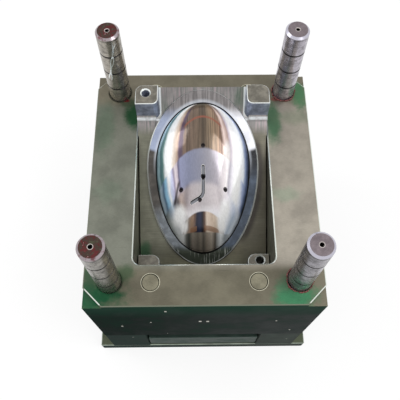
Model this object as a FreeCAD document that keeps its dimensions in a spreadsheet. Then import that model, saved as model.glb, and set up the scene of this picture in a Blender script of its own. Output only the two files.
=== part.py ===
import FreeCAD, Part
import math
import os
import Sketcher

# Ejector-side half of an injection mould: a two-rail base with an ejector box, a pocketed
# core plate, an insert whose parting face slopes down to the front, and a domed core.
# X is the width, Y the length (front at -Y), Z the opening direction.
# The origin is the centre of the clamp plate's underside.

SIZES = [
    # mould base
    ("mouldWidth", 350.0), ("mouldLength", 400.0), ("plateThickness", 220.0),
    ("clampWidth", 400.0), ("clampThickness", 30.0), ("clampChamfer", 1.5),
    ("spacerWidth", 72.0), ("spacerHeight", 110.0), ("spacerChamfer", 1.0),
    ("plateChamfer", 1.5), ("rimChamfer", 1.6),
    ("pryLeg", 28.0), ("pryDepth", 8.0),
    ("knockoutRadius", 20.0),
    ("liftRadius", 9.0), ("liftDepth", 36.0), ("liftDrop", 110.0),
    ("waterRadius", 6.5), ("waterDepth", 28.0), ("waterDrop", 150.0), ("waterX", 62.0),
    ("waterSeatRadius", 12.0), ("waterSeatDepth", 4.0),
    # insert and its pocket
    ("pocketWidth", 210.0), ("pocketLength", 277.0), ("pocketDepth", 172.0), ("pocketRadius", 12.0),
    ("insertFit", 0.05), ("reliefGap", 2.0), ("reliefDepth", 22.0), ("reliefEnd", 78.0),
    ("floorDrop", 41.5), ("floorAngle", 27.9), ("archStart", 85.0), ("backRise", 48.0),
    ("lugSize", 35.0), ("lugDraft", 4.0), ("lugRadius", 9.0), ("lugChamfer", 1.0),
    ("backLugRise", 54.0), ("frontLugDrop", 60.0), ("frontLugRadius", 12.0), ("footRadius", 6.0),
    ("lugHoleRadius", 6.5), ("lugHoleDepth", 30.0), ("lugHoleChamfer", 1.8),
    ("lugHoleX", 89.0), ("backHoleY", 124.0), ("frontHoleY", 113.5),
    ("landHeight", 9.0), ("landBackHeight", 1.5),
    ("landHalfWidth", 90.0), ("landBack", 106.0), ("landFront", 140.0),
    ("landChamfer", 2.2), ("rampDrop", 6.0), ("rampHalfWidth", 37.0), ("rampFlare", 14.0),
    # core
    ("eggHalfWidth", 75.0), ("eggBack", 88.0), ("eggFront", 124.0), ("eggCentre", 30.0),
    ("coreFit", 0.05), ("domeHeight", 43.0), ("domePower", 2.6),
    ("neckHeight", 32.0), ("neckHalfWidth", 28.0), ("neckFlare", 24.0), ("neckStart", 40.0),
    ("neckReach", 38.0), ("neckPower", 4.0), ("neckFall", 0.4), ("nosePower", 8.0),
    ("heelHeight", 20.0), ("heelWidth", 8.0), ("heelFit", 0.2),
    ("crownMargin", 4.0), ("creaseBlend", 2.5), ("crownCountX", 29), ("crownCountY", 39),
    ("runnerRadius", 2.6), ("runnerLength", 27.0), ("runnerTurn", 6.0), ("runnerReach", 18.0),
    ("runnerFall", 12.0), ("slugLength", 13.0),
    # guide and return pins
    ("leaderX", 137.0), ("leaderY", 163.0), ("leaderRadius", 17.5), ("leaderRise", 150.0),
    ("leaderHeadRadius", 21.0), ("leaderHeadHeight", 12.0), ("leaderChamfer", 3.0),
    ("leaderGroovePitch", 39.0), ("leaderGrooveWidth", 2.6), ("leaderGrooveDepth", 1.1),
    ("leaderMouthRadius", 18.6), ("leaderMouthDepth", 2.0),
    ("centreRadius", 3.2), ("centreDepth", 7.0), ("pinFit", 0.02),
    ("returnInset", 25.0), ("returnY", 165.0), ("returnRadius", 12.5), ("returnChamfer", 0.8),
    ("returnHeadRadius", 16.0), ("returnHeadHeight", 8.0), ("slidingFit", 0.1),
    ("springBore", 23.5), ("springDepth", 62.0), ("springRadius", 22.0), ("springWire", 6.0),
    ("springThickness", 4.0), ("springTurns", 7.0),
    # ejector system
    ("boxGap", 2.0), ("ejectorLength", 396.0), ("ejectorThickness", 33.0),
    ("retainerThickness", 30.0), ("plateEdge", 1.0),
    ("buttonRadius", 12.0), ("buttonHeight", 5.0), ("buttonInset", 25.0), ("buttonY", 165.0),
    ("ejectPinRadius", 3.0), ("ejectHeadRadius", 5.5), ("ejectHeadHeight", 6.0),
    ("ejectSideX", 34.6), ("ejectSideY", 15.0), ("ejectBackY", 41.5),
    ("ejectFrontX", 5.5), ("ejectFrontY", 30.0), ("plateClearance", 1.0),
    ("ejectPinDrop", 2.0), ("pullerRadius", 3.2), ("pullerDrop", 8.0),
    # screws
    ("clampScrewX", 139.0), ("clampScrewY", 95.0), ("clampScrewRadius", 8.0), ("clampThread", 34.0),
    ("ejectScrewX", 40.0), ("ejectScrewY", 165.0), ("ejectScrewRadius", 5.0), ("ejectThread", 20.0),
    ("insertScrewX", 82.0), ("insertScrewY", 104.0), ("insertScrewRadius", 6.0),
    ("insertThread", 24.0),
    ("coreScrewX", 33.0), ("coreScrewY", 56.0), ("coreScrewRadius", 5.0), ("coreThread", 20.0),
    ("headRatio", 1.5), ("screwClearance", 0.5), ("socketRatio", 0.85), ("headRecess", 1.0),
    ("screwFit", 0.02), ("overcut", 1.0),
]

doc = FreeCAD.newDocument("injection_mould_half")
sheet = doc.addObject("Spreadsheet::Sheet", "sizes")
for row, (alias, number) in enumerate(SIZES, start=1):
    sheet.set(f"A{row}", alias)
    sheet.set(f"B{row}", str(number))
    sheet.setAlias(f"B{row}", alias)
doc.recompute()

Constraint = Sketcher.Constraint

# heights of the stack, as expressions on the sheet
PLATE_BOTTOM = "(sizes.clampThickness + sizes.spacerHeight)"
PARTING = "(sizes.clampThickness + sizes.spacerHeight + sizes.plateThickness)"
POCKET_FLOOR = f"({PARTING} - sizes.pocketDepth)"
EJECTOR_BOTTOM = "(sizes.clampThickness + sizes.buttonHeight)"
RETAINER_BOTTOM = f"({EJECTOR_BOTTOM} + sizes.ejectorThickness)"
RETAINER_TOP = f"({RETAINER_BOTTOM} + sizes.retainerThickness)"
EJECTOR_WIDTH = "(sizes.mouldWidth - 2 * sizes.spacerWidth - 2 * sizes.boxGap)"
RETURN_X = "(sizes.mouldWidth / 2 - sizes.spacerWidth - sizes.returnInset)"
BUTTON_X = "(sizes.mouldWidth / 2 - sizes.spacerWidth - sizes.buttonInset)"
INSERT_WIDTH = "(sizes.pocketWidth - 2 * sizes.insertFit)"
INSERT_LENGTH = "(sizes.pocketLength - 2 * sizes.insertFit)"


def value(expression):
    """The number that an expression on the sheet gives."""
    return float(sheet.evalExpression(str(expression)))


def origin_plane(owner, role):
    return [item for item in owner.Origin.OriginFeatures if item.Role == role][0]


def new_body(name):
    owner = doc.addObject("PartDesign::Body", name)
    owner.Label = name
    return owner


def new_sketch(owner, name, role, lift="0"):
    """An empty sketch on one of the body's own planes, lifted along that plane's normal."""
    sketch = owner.newObject("Sketcher::SketchObject", name)
    sketch.AttachmentSupport = [(origin_plane(owner, role), "")]
    sketch.MapMode = "FlatFace"
    sketch.setExpression("AttachmentOffset.Base.z", lift)
    return sketch


def bind(sketch, kind, *where, size=None):
    """A constraint; with a size, its number follows that expression."""
    if size is None:
        return sketch.addConstraint(Constraint(kind, *where))
    index = sketch.addConstraint(Constraint(kind, *where, value(size)))
    sketch.setExpression(f"Constraints[{index}]", size)
    return index


def pin_point(sketch, geometry, position, across, along):
    bind(sketch, "DistanceX", -1, 1, geometry, position, size=across)
    bind(sketch, "DistanceY", -1, 1, geometry, position, size=along)


def add_polygon(sketch, corners):
    """Straight sides through the corners, each corner held by its two distances."""
    first = len(sketch.Geometry)
    places = [FreeCAD.Vector(value(across), value(along), 0) for across, along in corners]
    count = len(places)
    for step in range(count):
        sketch.addGeometry(Part.LineSegment(places[step], places[(step + 1) % count]), False)
    for step in range(count):
        bind(sketch, "Coincident", first + step, 2, first + (step + 1) % count, 1)
        pin_point(sketch, first + step, 1, *corners[step])


def polygon(owner, name, role, corners, lift="0"):
    sketch = new_sketch(owner, name, role, lift)
    add_polygon(sketch, corners)
    return sketch


def rectangle(owner, name, width, length, lift="0"):
    """A rectangle centred on the origin of the XY plane."""
    half_x, half_y = f"({width}) / 2", f"({length}) / 2"
    corners = [(f"-{half_x}", f"-{half_y}"), (half_x, f"-{half_y}"),
               (half_x, half_y), (f"-{half_x}", half_y)]
    return polygon(owner, name, "XY_Plane", corners, lift)


def circles(owner, name, role, centres, radius, lift="0"):
    sketch = new_sketch(owner, name, role, lift)
    for across, along in centres:
        middle = FreeCAD.Vector(value(across), value(along), 0)
        ring = Part.Circle(middle, FreeCAD.Vector(0, 0, 1), value(radius))
        index = sketch.addGeometry(ring, False)
        pin_point(sketch, index, 3, across, along)
        bind(sketch, "Radius", index, size=radius)
    return sketch


def egg(owner, name, half_width, back, front, lift="0"):
    """An egg outline: two half ellipses that share their short axis at sizes.eggCentre."""
    sketch = new_sketch(owner, name, "XY_Plane", lift)
    middle = FreeCAD.Vector(0, value("sizes.eggCentre"), 0)
    side = middle + FreeCAD.Vector(value(half_width), 0, 0)
    arcs = []
    for reach in (value(back), -value(front)):
        tip = middle + FreeCAD.Vector(0, reach, 0)
        ellipse = Part.Ellipse(tip, side, middle)
        arc = Part.ArcOfEllipse(ellipse, -math.pi / 2, math.pi / 2)
        arcs.append(sketch.addGeometry(arc, False))
    axes = []
    for arc in arcs:
        axes.append(len(sketch.Geometry))
        sketch.exposeInternalGeometry(arc)
    bind(sketch, "PointOnObject", arcs[0], 3, -2)
    bind(sketch, "DistanceY", -1, 1, arcs[0], 3, size="sizes.eggCentre")
    bind(sketch, "Coincident", arcs[0], 3, arcs[1], 3)
    for axis, reach in zip(axes, (back, front)):
        bind(sketch, "Vertical", axis)
        bind(sketch, "Distance", axis, size=f"2 * ({reach})")
        bind(sketch, "Distance", axis + 1, size=f"2 * ({half_width})")
    for arc in arcs:
        bind(sketch, "PointOnObject", arc, 1, axes[0] + 1)
        bind(sketch, "PointOnObject", arc, 2, axes[0] + 1)
    return sketch


def pad(owner, name, sketch, length, middle=False):
    feature = owner.newObject("PartDesign::Pad", name)
    feature.Profile = sketch
    feature.setExpression("Length", length)
    feature.Midplane = middle
    doc.recompute()
    return feature


def pocket(owner, name, sketch, length, middle=False):
    """A cut below the sketch's plane; it must take something away."""
    before = owner.Shape.Volume
    feature = owner.newObject("PartDesign::Pocket", name)
    feature.Profile = sketch
    feature.setExpression("Length", length)
    feature.Midplane = middle
    doc.recompute()
    if not owner.Shape.Volume < before:
        raise RuntimeError(f"{name} cuts nothing")
    return feature


def drill(owner, name, centres, radius, top, depth):
    """Round vertical holes from the height top down by depth."""
    pocket(owner, name, circles(owner, f"{name}_circles", "XY_Plane", centres, radius, top), depth)


def revolve(owner, name, corners):
    """A turned solid about the body's Z axis, from its half section in the XZ plane."""
    sketch = polygon(owner, f"{name}_section", "XZ_Plane", corners)
    feature = owner.newObject("PartDesign::Revolution", name)
    feature.Profile = sketch
    feature.ReferenceAxis = (origin_plane(owner, "Z_Axis"), [""])
    feature.Angle = 360.0
    doc.recompute()
    return feature


def edges_of(feature, wanted):
    """Names of the feature's edges that the test accepts."""
    edges = enumerate(feature.Shape.Edges, start=1)
    return [f"Edge{number}" for number, edge in edges if wanted(edge)]


def dress(owner, kind, name, size, wanted):
    """A Fillet or Chamfer of the body's tip along the wanted edges."""
    tip = owner.Tip
    names = edges_of(tip, wanted)
    if not names:
        raise RuntimeError(f"{name} finds no edge")
    feature = owner.newObject(f"PartDesign::{kind}", name)
    feature.Base = (tip, names)
    feature.setExpression("Radius" if kind == "Fillet" else "Size", size)
    doc.recompute()
    if "Invalid" in feature.State:
        raise RuntimeError(f"{name} fails")
    return feature


def is_vertical(edge):
    box = edge.BoundBox
    return box.ZLength > 1 and box.XLength < 0.01 and box.YLength < 0.01


def lies_at(edge, height):
    box = edge.BoundBox
    return abs(box.ZMin - height) < 0.01 and abs(box.ZMax - height) < 0.01


def four(across, along):
    """The four mirrored places of one (x, y) pair."""
    return [(f"{sign_x}{across}", f"{sign_y}{along}") for sign_x in ("-", "") for sign_y in ("-", "")]


def place(item, across="0", along="0", height="0"):
    for axis, distance in (("x", across), ("y", along), ("z", height)):
        item.setExpression(f"Placement.Base.{axis}", distance)


def boolean(kind, name, base, tool):
    item = doc.addObject(f"Part::{kind}", name)
    item.Base = base
    item.Tool = tool
    item.Refine = True
    item.Label = name
    doc.recompute()
    return item


def fuse(name, shapes):
    item = doc.addObject("Part::MultiFuse", name)
    item.Shapes = shapes
    item.Refine = True
    item.Label = name
    doc.recompute()
    return item


LEADERS = four("sizes.leaderX", "sizes.leaderY")
RETURNS = four(RETURN_X, "sizes.returnY")
CLAMP_SCREWS = four("sizes.clampScrewX", "sizes.clampScrewY")
EJECT_SCREWS = four("sizes.ejectScrewX", "sizes.ejectScrewY")
INSERT_SCREWS = four("sizes.insertScrewX", "sizes.insertScrewY")
CORE_SCREWS = four("sizes.coreScrewX", "sizes.coreScrewY")
EJECT_PINS = {
    "left": ("-sizes.ejectSideX", "-sizes.ejectSideY"),
    "right": ("sizes.ejectSideX", "-sizes.ejectSideY"),
    "back": ("0", "sizes.ejectBackY"),
    "front": ("-sizes.ejectFrontX", "-sizes.ejectFrontY"),
}
PULLER = ("0", "0")


# ---- mould base ---------------------------------------------------------------------------

def build_core_plate():
    """The thick plate that carries the insert, the leader pins and the return pin bores."""
    owner = new_body("core_plate")
    outline = rectangle(owner, "plate_outline", "sizes.mouldWidth", "sizes.mouldLength", PLATE_BOTTOM)
    pad(owner, "plate_blank", outline, "sizes.plateThickness")

    pry = new_sketch(owner, "pry_corners", "XY_Plane", PARTING)
    for sign_x in ("-", ""):
        for sign_y in ("-", ""):
            far_x = f"{sign_x}(sizes.mouldWidth / 2)"
            far_y = f"{sign_y}(sizes.mouldLength / 2)"
            near_x = f"{sign_x}(sizes.mouldWidth / 2 - sizes.pryLeg)"
            near_y = f"{sign_y}(sizes.mouldLength / 2 - sizes.pryLeg)"
            add_polygon(pry, [(far_x, far_y), (near_x, far_y), (far_x, near_y)])
    pocket(owner, "pry_slots", pry, "sizes.pryDepth")
    top = value(PARTING)
    dress(owner, "Chamfer", "top_chamfer", "sizes.plateChamfer", lambda edge: lies_at(edge, top))

    mouth = rectangle(owner, "pocket_outline", "sizes.pocketWidth", "sizes.pocketLength", PARTING)
    pocket(owner, "insert_pocket", mouth, "sizes.pocketDepth")
    wall = value("sizes.pocketWidth / 2")
    dress(owner, "Fillet", "pocket_corners", "sizes.pocketRadius",
          lambda edge: is_vertical(edge) and abs(abs(edge.BoundBox.XMin) - wall) < 0.01)
    dress(owner, "Chamfer", "pocket_rim", "sizes.rimChamfer",
          lambda edge: lies_at(edge, top) and abs(edge.CenterOfMass.x) < wall + 0.01
          and abs(edge.CenterOfMass.y) < value("sizes.pocketLength / 2") + 0.01)

    over = "sizes.overcut"
    floor_depth = f"({POCKET_FLOOR} - {PLATE_BOTTOM} + {over})"
    drill(owner, "leader_bores", LEADERS, "sizes.leaderRadius + sizes.pinFit", PARTING,
          f"sizes.plateThickness + {over}")
    drill(owner, "leader_mouths", LEADERS, "sizes.leaderMouthRadius", PARTING,
          "sizes.leaderMouthDepth")
    drill(owner, "leader_seats", LEADERS, "sizes.leaderHeadRadius + sizes.pinFit",
          f"{PLATE_BOTTOM} + sizes.leaderHeadHeight", f"sizes.leaderHeadHeight + {over}")
    drill(owner, "return_bores", RETURNS, "sizes.returnRadius + sizes.slidingFit", PARTING,
          f"sizes.plateThickness + {over}")
    drill(owner, "spring_bores", RETURNS, "sizes.springBore",
          f"{PLATE_BOTTOM} + sizes.springDepth", f"sizes.springDepth + {over}")
    drill(owner, "eject_clearance", list(EJECT_PINS.values()) + [PULLER],
          "sizes.ejectPinRadius + sizes.plateClearance", POCKET_FLOOR, floor_depth)
    for label, spots, radius in (("insert", INSERT_SCREWS, "sizes.insertScrewRadius"),
                                 ("core", CORE_SCREWS, "sizes.coreScrewRadius")):
        screw_seat(owner, label, spots, radius, PLATE_BOTTOM, POCKET_FLOOR)
    drill(owner, "clamp_threads", CLAMP_SCREWS, "sizes.clampScrewRadius + sizes.screwFit",
          f"{PLATE_BOTTOM} + sizes.clampThread", f"sizes.clampThread + {over}")

    level = f"{PARTING} - sizes.liftDrop"
    for side, reach in (("right", "sizes.mouldWidth / 2"),
                        ("left", "sizes.liftDepth - sizes.mouldWidth / 2")):
        hole = circles(owner, f"lift_{side}_circle", "YZ_Plane", [("0", level)],
                       "sizes.liftRadius", reach)
        pocket(owner, f"lift_{side}", hole, "sizes.liftDepth")
    water_level = f"{PARTING} - sizes.waterDrop"
    ports = [("-sizes.waterX", water_level), ("sizes.waterX", water_level)]
    for label, radius, depth in (("bore", "sizes.waterRadius", "sizes.waterDepth"),
                                 ("seat", "sizes.waterSeatRadius", "sizes.waterSeatDepth")):
        sketch = circles(owner, f"water_{label}_circles", "XZ_Plane", ports, radius,
                         f"{depth} - sizes.mouldLength / 2")
        pocket(owner, f"water_{label}", sketch, depth)
    return owner


def screw_seat(owner, label, spots, radius, under, over):
    """Clearance holes and head recesses for socket screws, between two heights."""
    drill(owner, f"{label}_screw_holes", spots, f"{radius} + sizes.screwClearance", over,
          f"{over} - {under} + sizes.overcut")
    deep = f"(2 * {radius} + sizes.headRecess)"
    drill(owner, f"{label}_screw_seats", spots,
          f"sizes.headRatio * {radius} + sizes.screwClearance", f"{under} + {deep}",
          f"{deep} + sizes.overcut")


def build_clamp_plate():
    owner = new_body("clamp_plate")
    outline = rectangle(owner, "clamp_outline", "sizes.clampWidth", "sizes.mouldLength")
    pad(owner, "clamp_blank", outline, "sizes.clampThickness")
    dress(owner, "Chamfer", "clamp_edges", "sizes.clampChamfer",
          lambda edge: is_vertical(edge) or lies_at(edge, value("sizes.clampThickness"))
          or lies_at(edge, 0))
    drill(owner, "knockout", [("0", "0")], "sizes.knockoutRadius", "sizes.clampThickness",
          "sizes.clampThickness + sizes.overcut")
    screw_seat(owner, "clamp", CLAMP_SCREWS, "sizes.clampScrewRadius", "0", "sizes.clampThickness")
    return owner


def build_spacer(name, sign):
    """One rail of the ejector box; sign is the side of X it stands on."""
    owner = new_body(name)
    outer = f"{sign}(sizes.mouldWidth / 2)"
    inner = f"{sign}(sizes.mouldWidth / 2 - sizes.spacerWidth)"
    half = "sizes.mouldLength / 2"
    corners = [(outer, f"-{half}"), (inner, f"-{half}"), (inner, half), (outer, half)]
    outline = polygon(owner, f"{name}_outline", "XY_Plane", corners, "sizes.clampThickness")
    pad(owner, f"{name}_blank", outline, "sizes.spacerHeight")
    dress(owner, "Chamfer", f"{name}_edges", "sizes.spacerChamfer", is_vertical)
    spots = [spot for spot in CLAMP_SCREWS if spot[0].startswith("-") == (sign == "-")]
    drill(owner, f"{name}_screw_holes", spots, "sizes.clampScrewRadius + sizes.screwClearance",
          PLATE_BOTTOM, "sizes.spacerHeight + sizes.overcut")
    return owner


def build_leader_pin(name, across, along):
    """Shouldered pin with oil grooves and a centre hole, pressed in from under the plate."""
    owner = new_body(name)
    radius = "sizes.leaderRadius"
    total = "(sizes.plateThickness + sizes.leaderRise)"
    corners = [("0", "0"), ("sizes.leaderHeadRadius", "0"),
               ("sizes.leaderHeadRadius", "sizes.leaderHeadHeight"),
               (radius, "sizes.leaderHeadHeight")]
    for count in (3, 2, 1):
        middle = f"{total} - {count} * sizes.leaderGroovePitch"
        root = f"{radius} - sizes.leaderGrooveDepth"
        corners += [(radius, f"{middle} - sizes.leaderGrooveWidth / 2"),
                    (root, f"{middle} - sizes.leaderGrooveWidth / 4"),
                    (root, f"{middle} + sizes.leaderGrooveWidth / 4"),
                    (radius, f"{middle} + sizes.leaderGrooveWidth / 2")]
    corners += [(radius, f"{total} - sizes.leaderChamfer"),
                (f"{radius} - sizes.leaderChamfer", total), ("sizes.centreRadius", total),
                ("0", f"{total} - sizes.centreDepth")]
    revolve(owner, f"{name}_turning", corners)
    place(owner, across, along, PLATE_BOTTOM)
    return owner


# ---- ejector system -----------------------------------------------------------------------

def headed_pin(name, radius, head_radius, head_height, length, chamfer="0"):
    """A turned pin that stands on its head at the underside of the retainer plate."""
    owner = new_body(name)
    corners = [("0", "0"), (head_radius, "0"), (head_radius, head_height), (radius, head_height)]
    if chamfer == "0":
        corners += [(radius, length)]
    else:
        corners += [(radius, f"{length} - {chamfer}"), (f"{radius} - {chamfer}", length)]
    corners += [("0", length)]
    revolve(owner, f"{name}_turning", corners)
    return owner


def build_return_pin(name, across, along):
    owner = headed_pin(name, "sizes.returnRadius", "sizes.returnHeadRadius",
                       "sizes.returnHeadHeight", f"({PARTING} - {RETAINER_BOTTOM})",
                       "sizes.returnChamfer")
    place(owner, across, along, RETAINER_BOTTOM)
    return owner


def build_core_pin(name, across, along, radius, drop):
    """A pin through the core; its end stays below the core's surface by drop."""
    surface = value(PARTING) + crown_height(value(across), value(along))
    owner = headed_pin(name, radius, "sizes.ejectHeadRadius", "sizes.ejectHeadHeight",
                       f"({surface - value(RETAINER_BOTTOM):.3f} - {drop})")
    place(owner, across, along, RETAINER_BOTTOM)
    return owner


def boolean_common(name, first, second):
    item = doc.addObject("Part::MultiCommon", name)
    item.Shapes = [first, second]
    item.Refine = True
    item.Label = name
    doc.recompute()
    return item


def build_ejector_plates():
    retainer = new_body("ejector_retainer_plate")
    outline = rectangle(retainer, "retainer_outline", EJECTOR_WIDTH, "sizes.ejectorLength",
                        RETAINER_BOTTOM)
    pad(retainer, "retainer_blank", outline, "sizes.retainerThickness")
    dress(retainer, "Chamfer", "retainer_edges", "sizes.plateEdge",
          lambda edge: lies_at(edge, value(RETAINER_TOP)))
    for label, spots, radius, head_radius, head_height in (
            ("return", RETURNS, "sizes.returnRadius", "sizes.returnHeadRadius",
             "sizes.returnHeadHeight"),
            ("eject", list(EJECT_PINS.values()) + [PULLER], "sizes.ejectPinRadius",
             "sizes.ejectHeadRadius", "sizes.ejectHeadHeight")):
        drill(retainer, f"{label}_holes", spots, f"{radius} + sizes.screwClearance", RETAINER_TOP,
              "sizes.retainerThickness + sizes.overcut")
        drill(retainer, f"{label}_head_seats", spots, f"{head_radius} + sizes.screwClearance",
              f"{RETAINER_BOTTOM} + {head_height}", f"{head_height} + sizes.overcut")
    drill(retainer, "retainer_threads", EJECT_SCREWS, "sizes.ejectScrewRadius + sizes.screwFit",
          f"{RETAINER_BOTTOM} + sizes.ejectThread", "sizes.ejectThread + sizes.overcut")

    plate = new_body("ejector_plate")
    outline = rectangle(plate, "ejector_outline", EJECTOR_WIDTH, "sizes.ejectorLength",
                        EJECTOR_BOTTOM)
    pad(plate, "ejector_blank", outline, "sizes.ejectorThickness")
    dress(plate, "Chamfer", "ejector_edges", "sizes.plateEdge",
          lambda edge: lies_at(edge, value(RETAINER_BOTTOM)) or lies_at(edge, value(EJECTOR_BOTTOM)))
    screw_seat(plate, "eject", EJECT_SCREWS, "sizes.ejectScrewRadius", EJECTOR_BOTTOM,
               RETAINER_BOTTOM)
    return retainer, plate


def mirrored_four(name, source):
    """The source at its own place and its three mirror images, as separate solids."""
    pieces = source
    for step, normal in enumerate((FreeCAD.Vector(1, 0, 0), FreeCAD.Vector(0, 1, 0))):
        image = doc.addObject("Part::Mirroring", f"{name}_image_{step}")
        image.Source = pieces
        image.Normal = normal
        group = doc.addObject("Part::Compound", name if step else f"{name}_pair")
        group.Links = [pieces, image]
        pieces = group
    pieces.Label = name
    doc.recompute()
    return pieces


def build_screws(name, radius, spot, head_at, tip_at):
    """Four socket head screws, heads down, at the mirrored places of spot."""
    owner = new_body(f"{name}_stock")
    head = f"(sizes.headRatio * {radius})"
    neck = f"({head_at} + 2 * {radius})"
    corners = [("0", head_at), (head, head_at), (head, neck), (radius, neck), (radius, tip_at),
               ("0", tip_at)]
    revolve(owner, f"{name}_turning", corners)
    socket = f"(sizes.socketRatio * {radius})"
    hexagon = [(f"{socket} * cos({angle} deg)", f"{socket} * sin({angle} deg)")
               for angle in range(30, 390, 60)]
    sketch = polygon(owner, f"{name}_hexagon", "XY_Plane", hexagon, f"{head_at} + {radius}")
    pocket(owner, f"{name}_socket", sketch, f"{radius} + sizes.overcut")
    place(owner, *spot)
    return mirrored_four(name, owner)


def build_stop_buttons():
    button = doc.addObject("Part::Cylinder", "stop_button_stock")
    button.setExpression("Radius", "sizes.buttonRadius")
    button.setExpression("Height", "sizes.buttonHeight")
    place(button, BUTTON_X, "sizes.buttonY", "sizes.clampThickness")
    return mirrored_four("stop_buttons", button)


def build_return_springs():
    """Flat-wire springs round the return pins, from the retainer to the bore's end."""
    wire = value("sizes.springWire")
    thickness = value("sizes.springThickness")
    outer = value("sizes.springRadius")
    low = value(RETAINER_TOP)
    height = value(f"{PLATE_BOTTOM} + sizes.springDepth") - low
    rise = height - thickness
    path = Part.makeHelix(rise / value("sizes.springTurns"), rise, outer)
    corners = [FreeCAD.Vector(outer - wire, 0, 0), FreeCAD.Vector(outer, 0, 0),
               FreeCAD.Vector(outer, 0, thickness), FreeCAD.Vector(outer - wire, 0, thickness)]
    section = Part.makePolygon(corners + corners[:1])
    coil = Part.Wire(path.Edges).makePipeShell([section], True, True)
    spring = doc.addObject("Part::Feature", "return_spring_stock")
    spring.Shape = coil
    place(spring, RETURN_X, "sizes.returnY", RETAINER_TOP)
    doc.recompute()
    return mirrored_four("return_springs", spring)


# ---- parting face -------------------------------------------------------------------------
# In the YZ plane it is a straight slope that rises to the back, then an arc tangent to the
# slope at sizes.archStart, which ends at the height sizes.backRise over the plate. The land
# round the core runs sizes.landHeight above it and sinks to landBackHeight at the back edge.

SLOPE = "tan(sizes.floorAngle * 1 deg)"


def slope_at(along, lift="0"):
    """Expression for the height of the straight slope at a place along Y."""
    return f"({PARTING} - sizes.floorDrop + {lift} + {SLOPE} * ({along}))"


PARTING_FACE = ("0", "0")
LAND = ("sizes.landHeight", "sizes.landBackHeight")


def arch_circle(lifts):
    """Ends, centre and radius of the arc that follows the slope, for the face or the land."""
    start_at = value(slope_at("sizes.archStart", lifts[0]))
    start = FreeCAD.Vector(value("sizes.archStart"), start_at, 0)
    end_at = value(f"{PARTING} + sizes.backRise + {lifts[1]}")
    end = FreeCAD.Vector(value(f"{INSERT_LENGTH} / 2"), end_at, 0)
    angle = math.radians(value("sizes.floorAngle"))
    normal = FreeCAD.Vector(-math.sin(angle), math.cos(angle), 0)
    chord = end - start
    radius = chord.dot(chord) / (2 * normal.dot(chord))
    return start, end, start + normal * radius, radius


def parting_height(along, lifts):
    """Height of the parting face, or of the land, at one place along Y."""
    start, _, middle, radius = arch_circle(lifts)
    if along <= start.x:
        return start.y + math.tan(math.radians(value("sizes.floorAngle"))) * (along - start.x)
    return middle.y - math.sqrt(radius ** 2 - (along - middle.x) ** 2)


def build_parting_slab(name, lifts):
    """A slab across the whole insert whose top is the parting face or the land."""
    owner = new_body(name)
    sketch = new_sketch(owner, f"{name}_profile", "YZ_Plane")
    half = f"{INSERT_LENGTH} / 2"
    start, end, middle, radius = arch_circle(lifts)
    corners = [(f"-{half}", POCKET_FLOOR), (f"-{half}", slope_at(f"-{half}", lifts[0])),
               ("sizes.archStart", slope_at("sizes.archStart", lifts[0])),
               (half, f"{PARTING} + sizes.backRise + {lifts[1]}"), (half, POCKET_FLOOR)]
    spots = [FreeCAD.Vector(value(across), value(along), 0) for across, along in corners]
    sides = [(0, 1), (1, 2), (3, 4), (4, 0)]
    lines = [sketch.addGeometry(Part.LineSegment(spots[a], spots[b]), False) for a, b in sides]
    circle = Part.Circle(middle, FreeCAD.Vector(0, 0, 1), radius)
    angles = [math.atan2(spot.y - middle.y, spot.x - middle.x) for spot in (start, end)]
    arc = sketch.addGeometry(Part.ArcOfCircle(circle, *angles), False)
    for line, (corner, _) in zip(lines, sides):
        pin_point(sketch, line, 1, *corners[corner])
    pin_point(sketch, lines[1], 2, *corners[2])
    bind(sketch, "Coincident", lines[0], 2, lines[1], 1)
    bind(sketch, "Coincident", lines[2], 2, lines[3], 1)
    bind(sketch, "Coincident", lines[3], 2, lines[0], 1)
    bind(sketch, "Tangent", lines[1], 2, arc, 1)
    bind(sketch, "Coincident", arc, 2, lines[2], 1)
    pad(owner, f"{name}_pad", sketch, INSERT_WIDTH, middle=True)
    return owner


# ---- insert -------------------------------------------------------------------------------

def build_lug(name, side, end, top, radius):
    """A corner lug; its inner side has draft and its free corner is rounded."""
    owner = new_body(name)
    foot = f"({top} - sizes.backLugRise)"
    outer = f"{side}({INSERT_WIDTH} / 2)"
    inner_top = f"{side}({INSERT_WIDTH} / 2 - sizes.lugSize)"
    inner_foot = f"{side}({INSERT_WIDTH} / 2 - sizes.lugSize - sizes.lugDraft)"
    root = f"({foot} - sizes.lugSize / 2)"
    middle = f"({INSERT_LENGTH} / 2 - sizes.lugSize / 2)"
    corners = [(outer, root), (inner_foot, root), (inner_foot, foot), (inner_top, top),
               (outer, top)]
    lift = middle if end == "-" else f"-{middle}"
    section = polygon(owner, f"{name}_section", "XZ_Plane", corners, lift)
    pad(owner, f"{name}_pad", section, "sizes.lugSize", middle=True)
    face = value(f"{INSERT_LENGTH} / 2 - sizes.lugSize")
    wall = value(inner_top)
    dress(owner, "Fillet", f"{name}_corner", radius,
          lambda edge: edge.BoundBox.ZLength > 1 and edge.BoundBox.YLength < 0.01
          and abs(abs(edge.CenterOfMass.y) - face) < 0.01
          and abs(edge.CenterOfMass.x) < abs(wall) + 0.01)
    return owner


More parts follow.
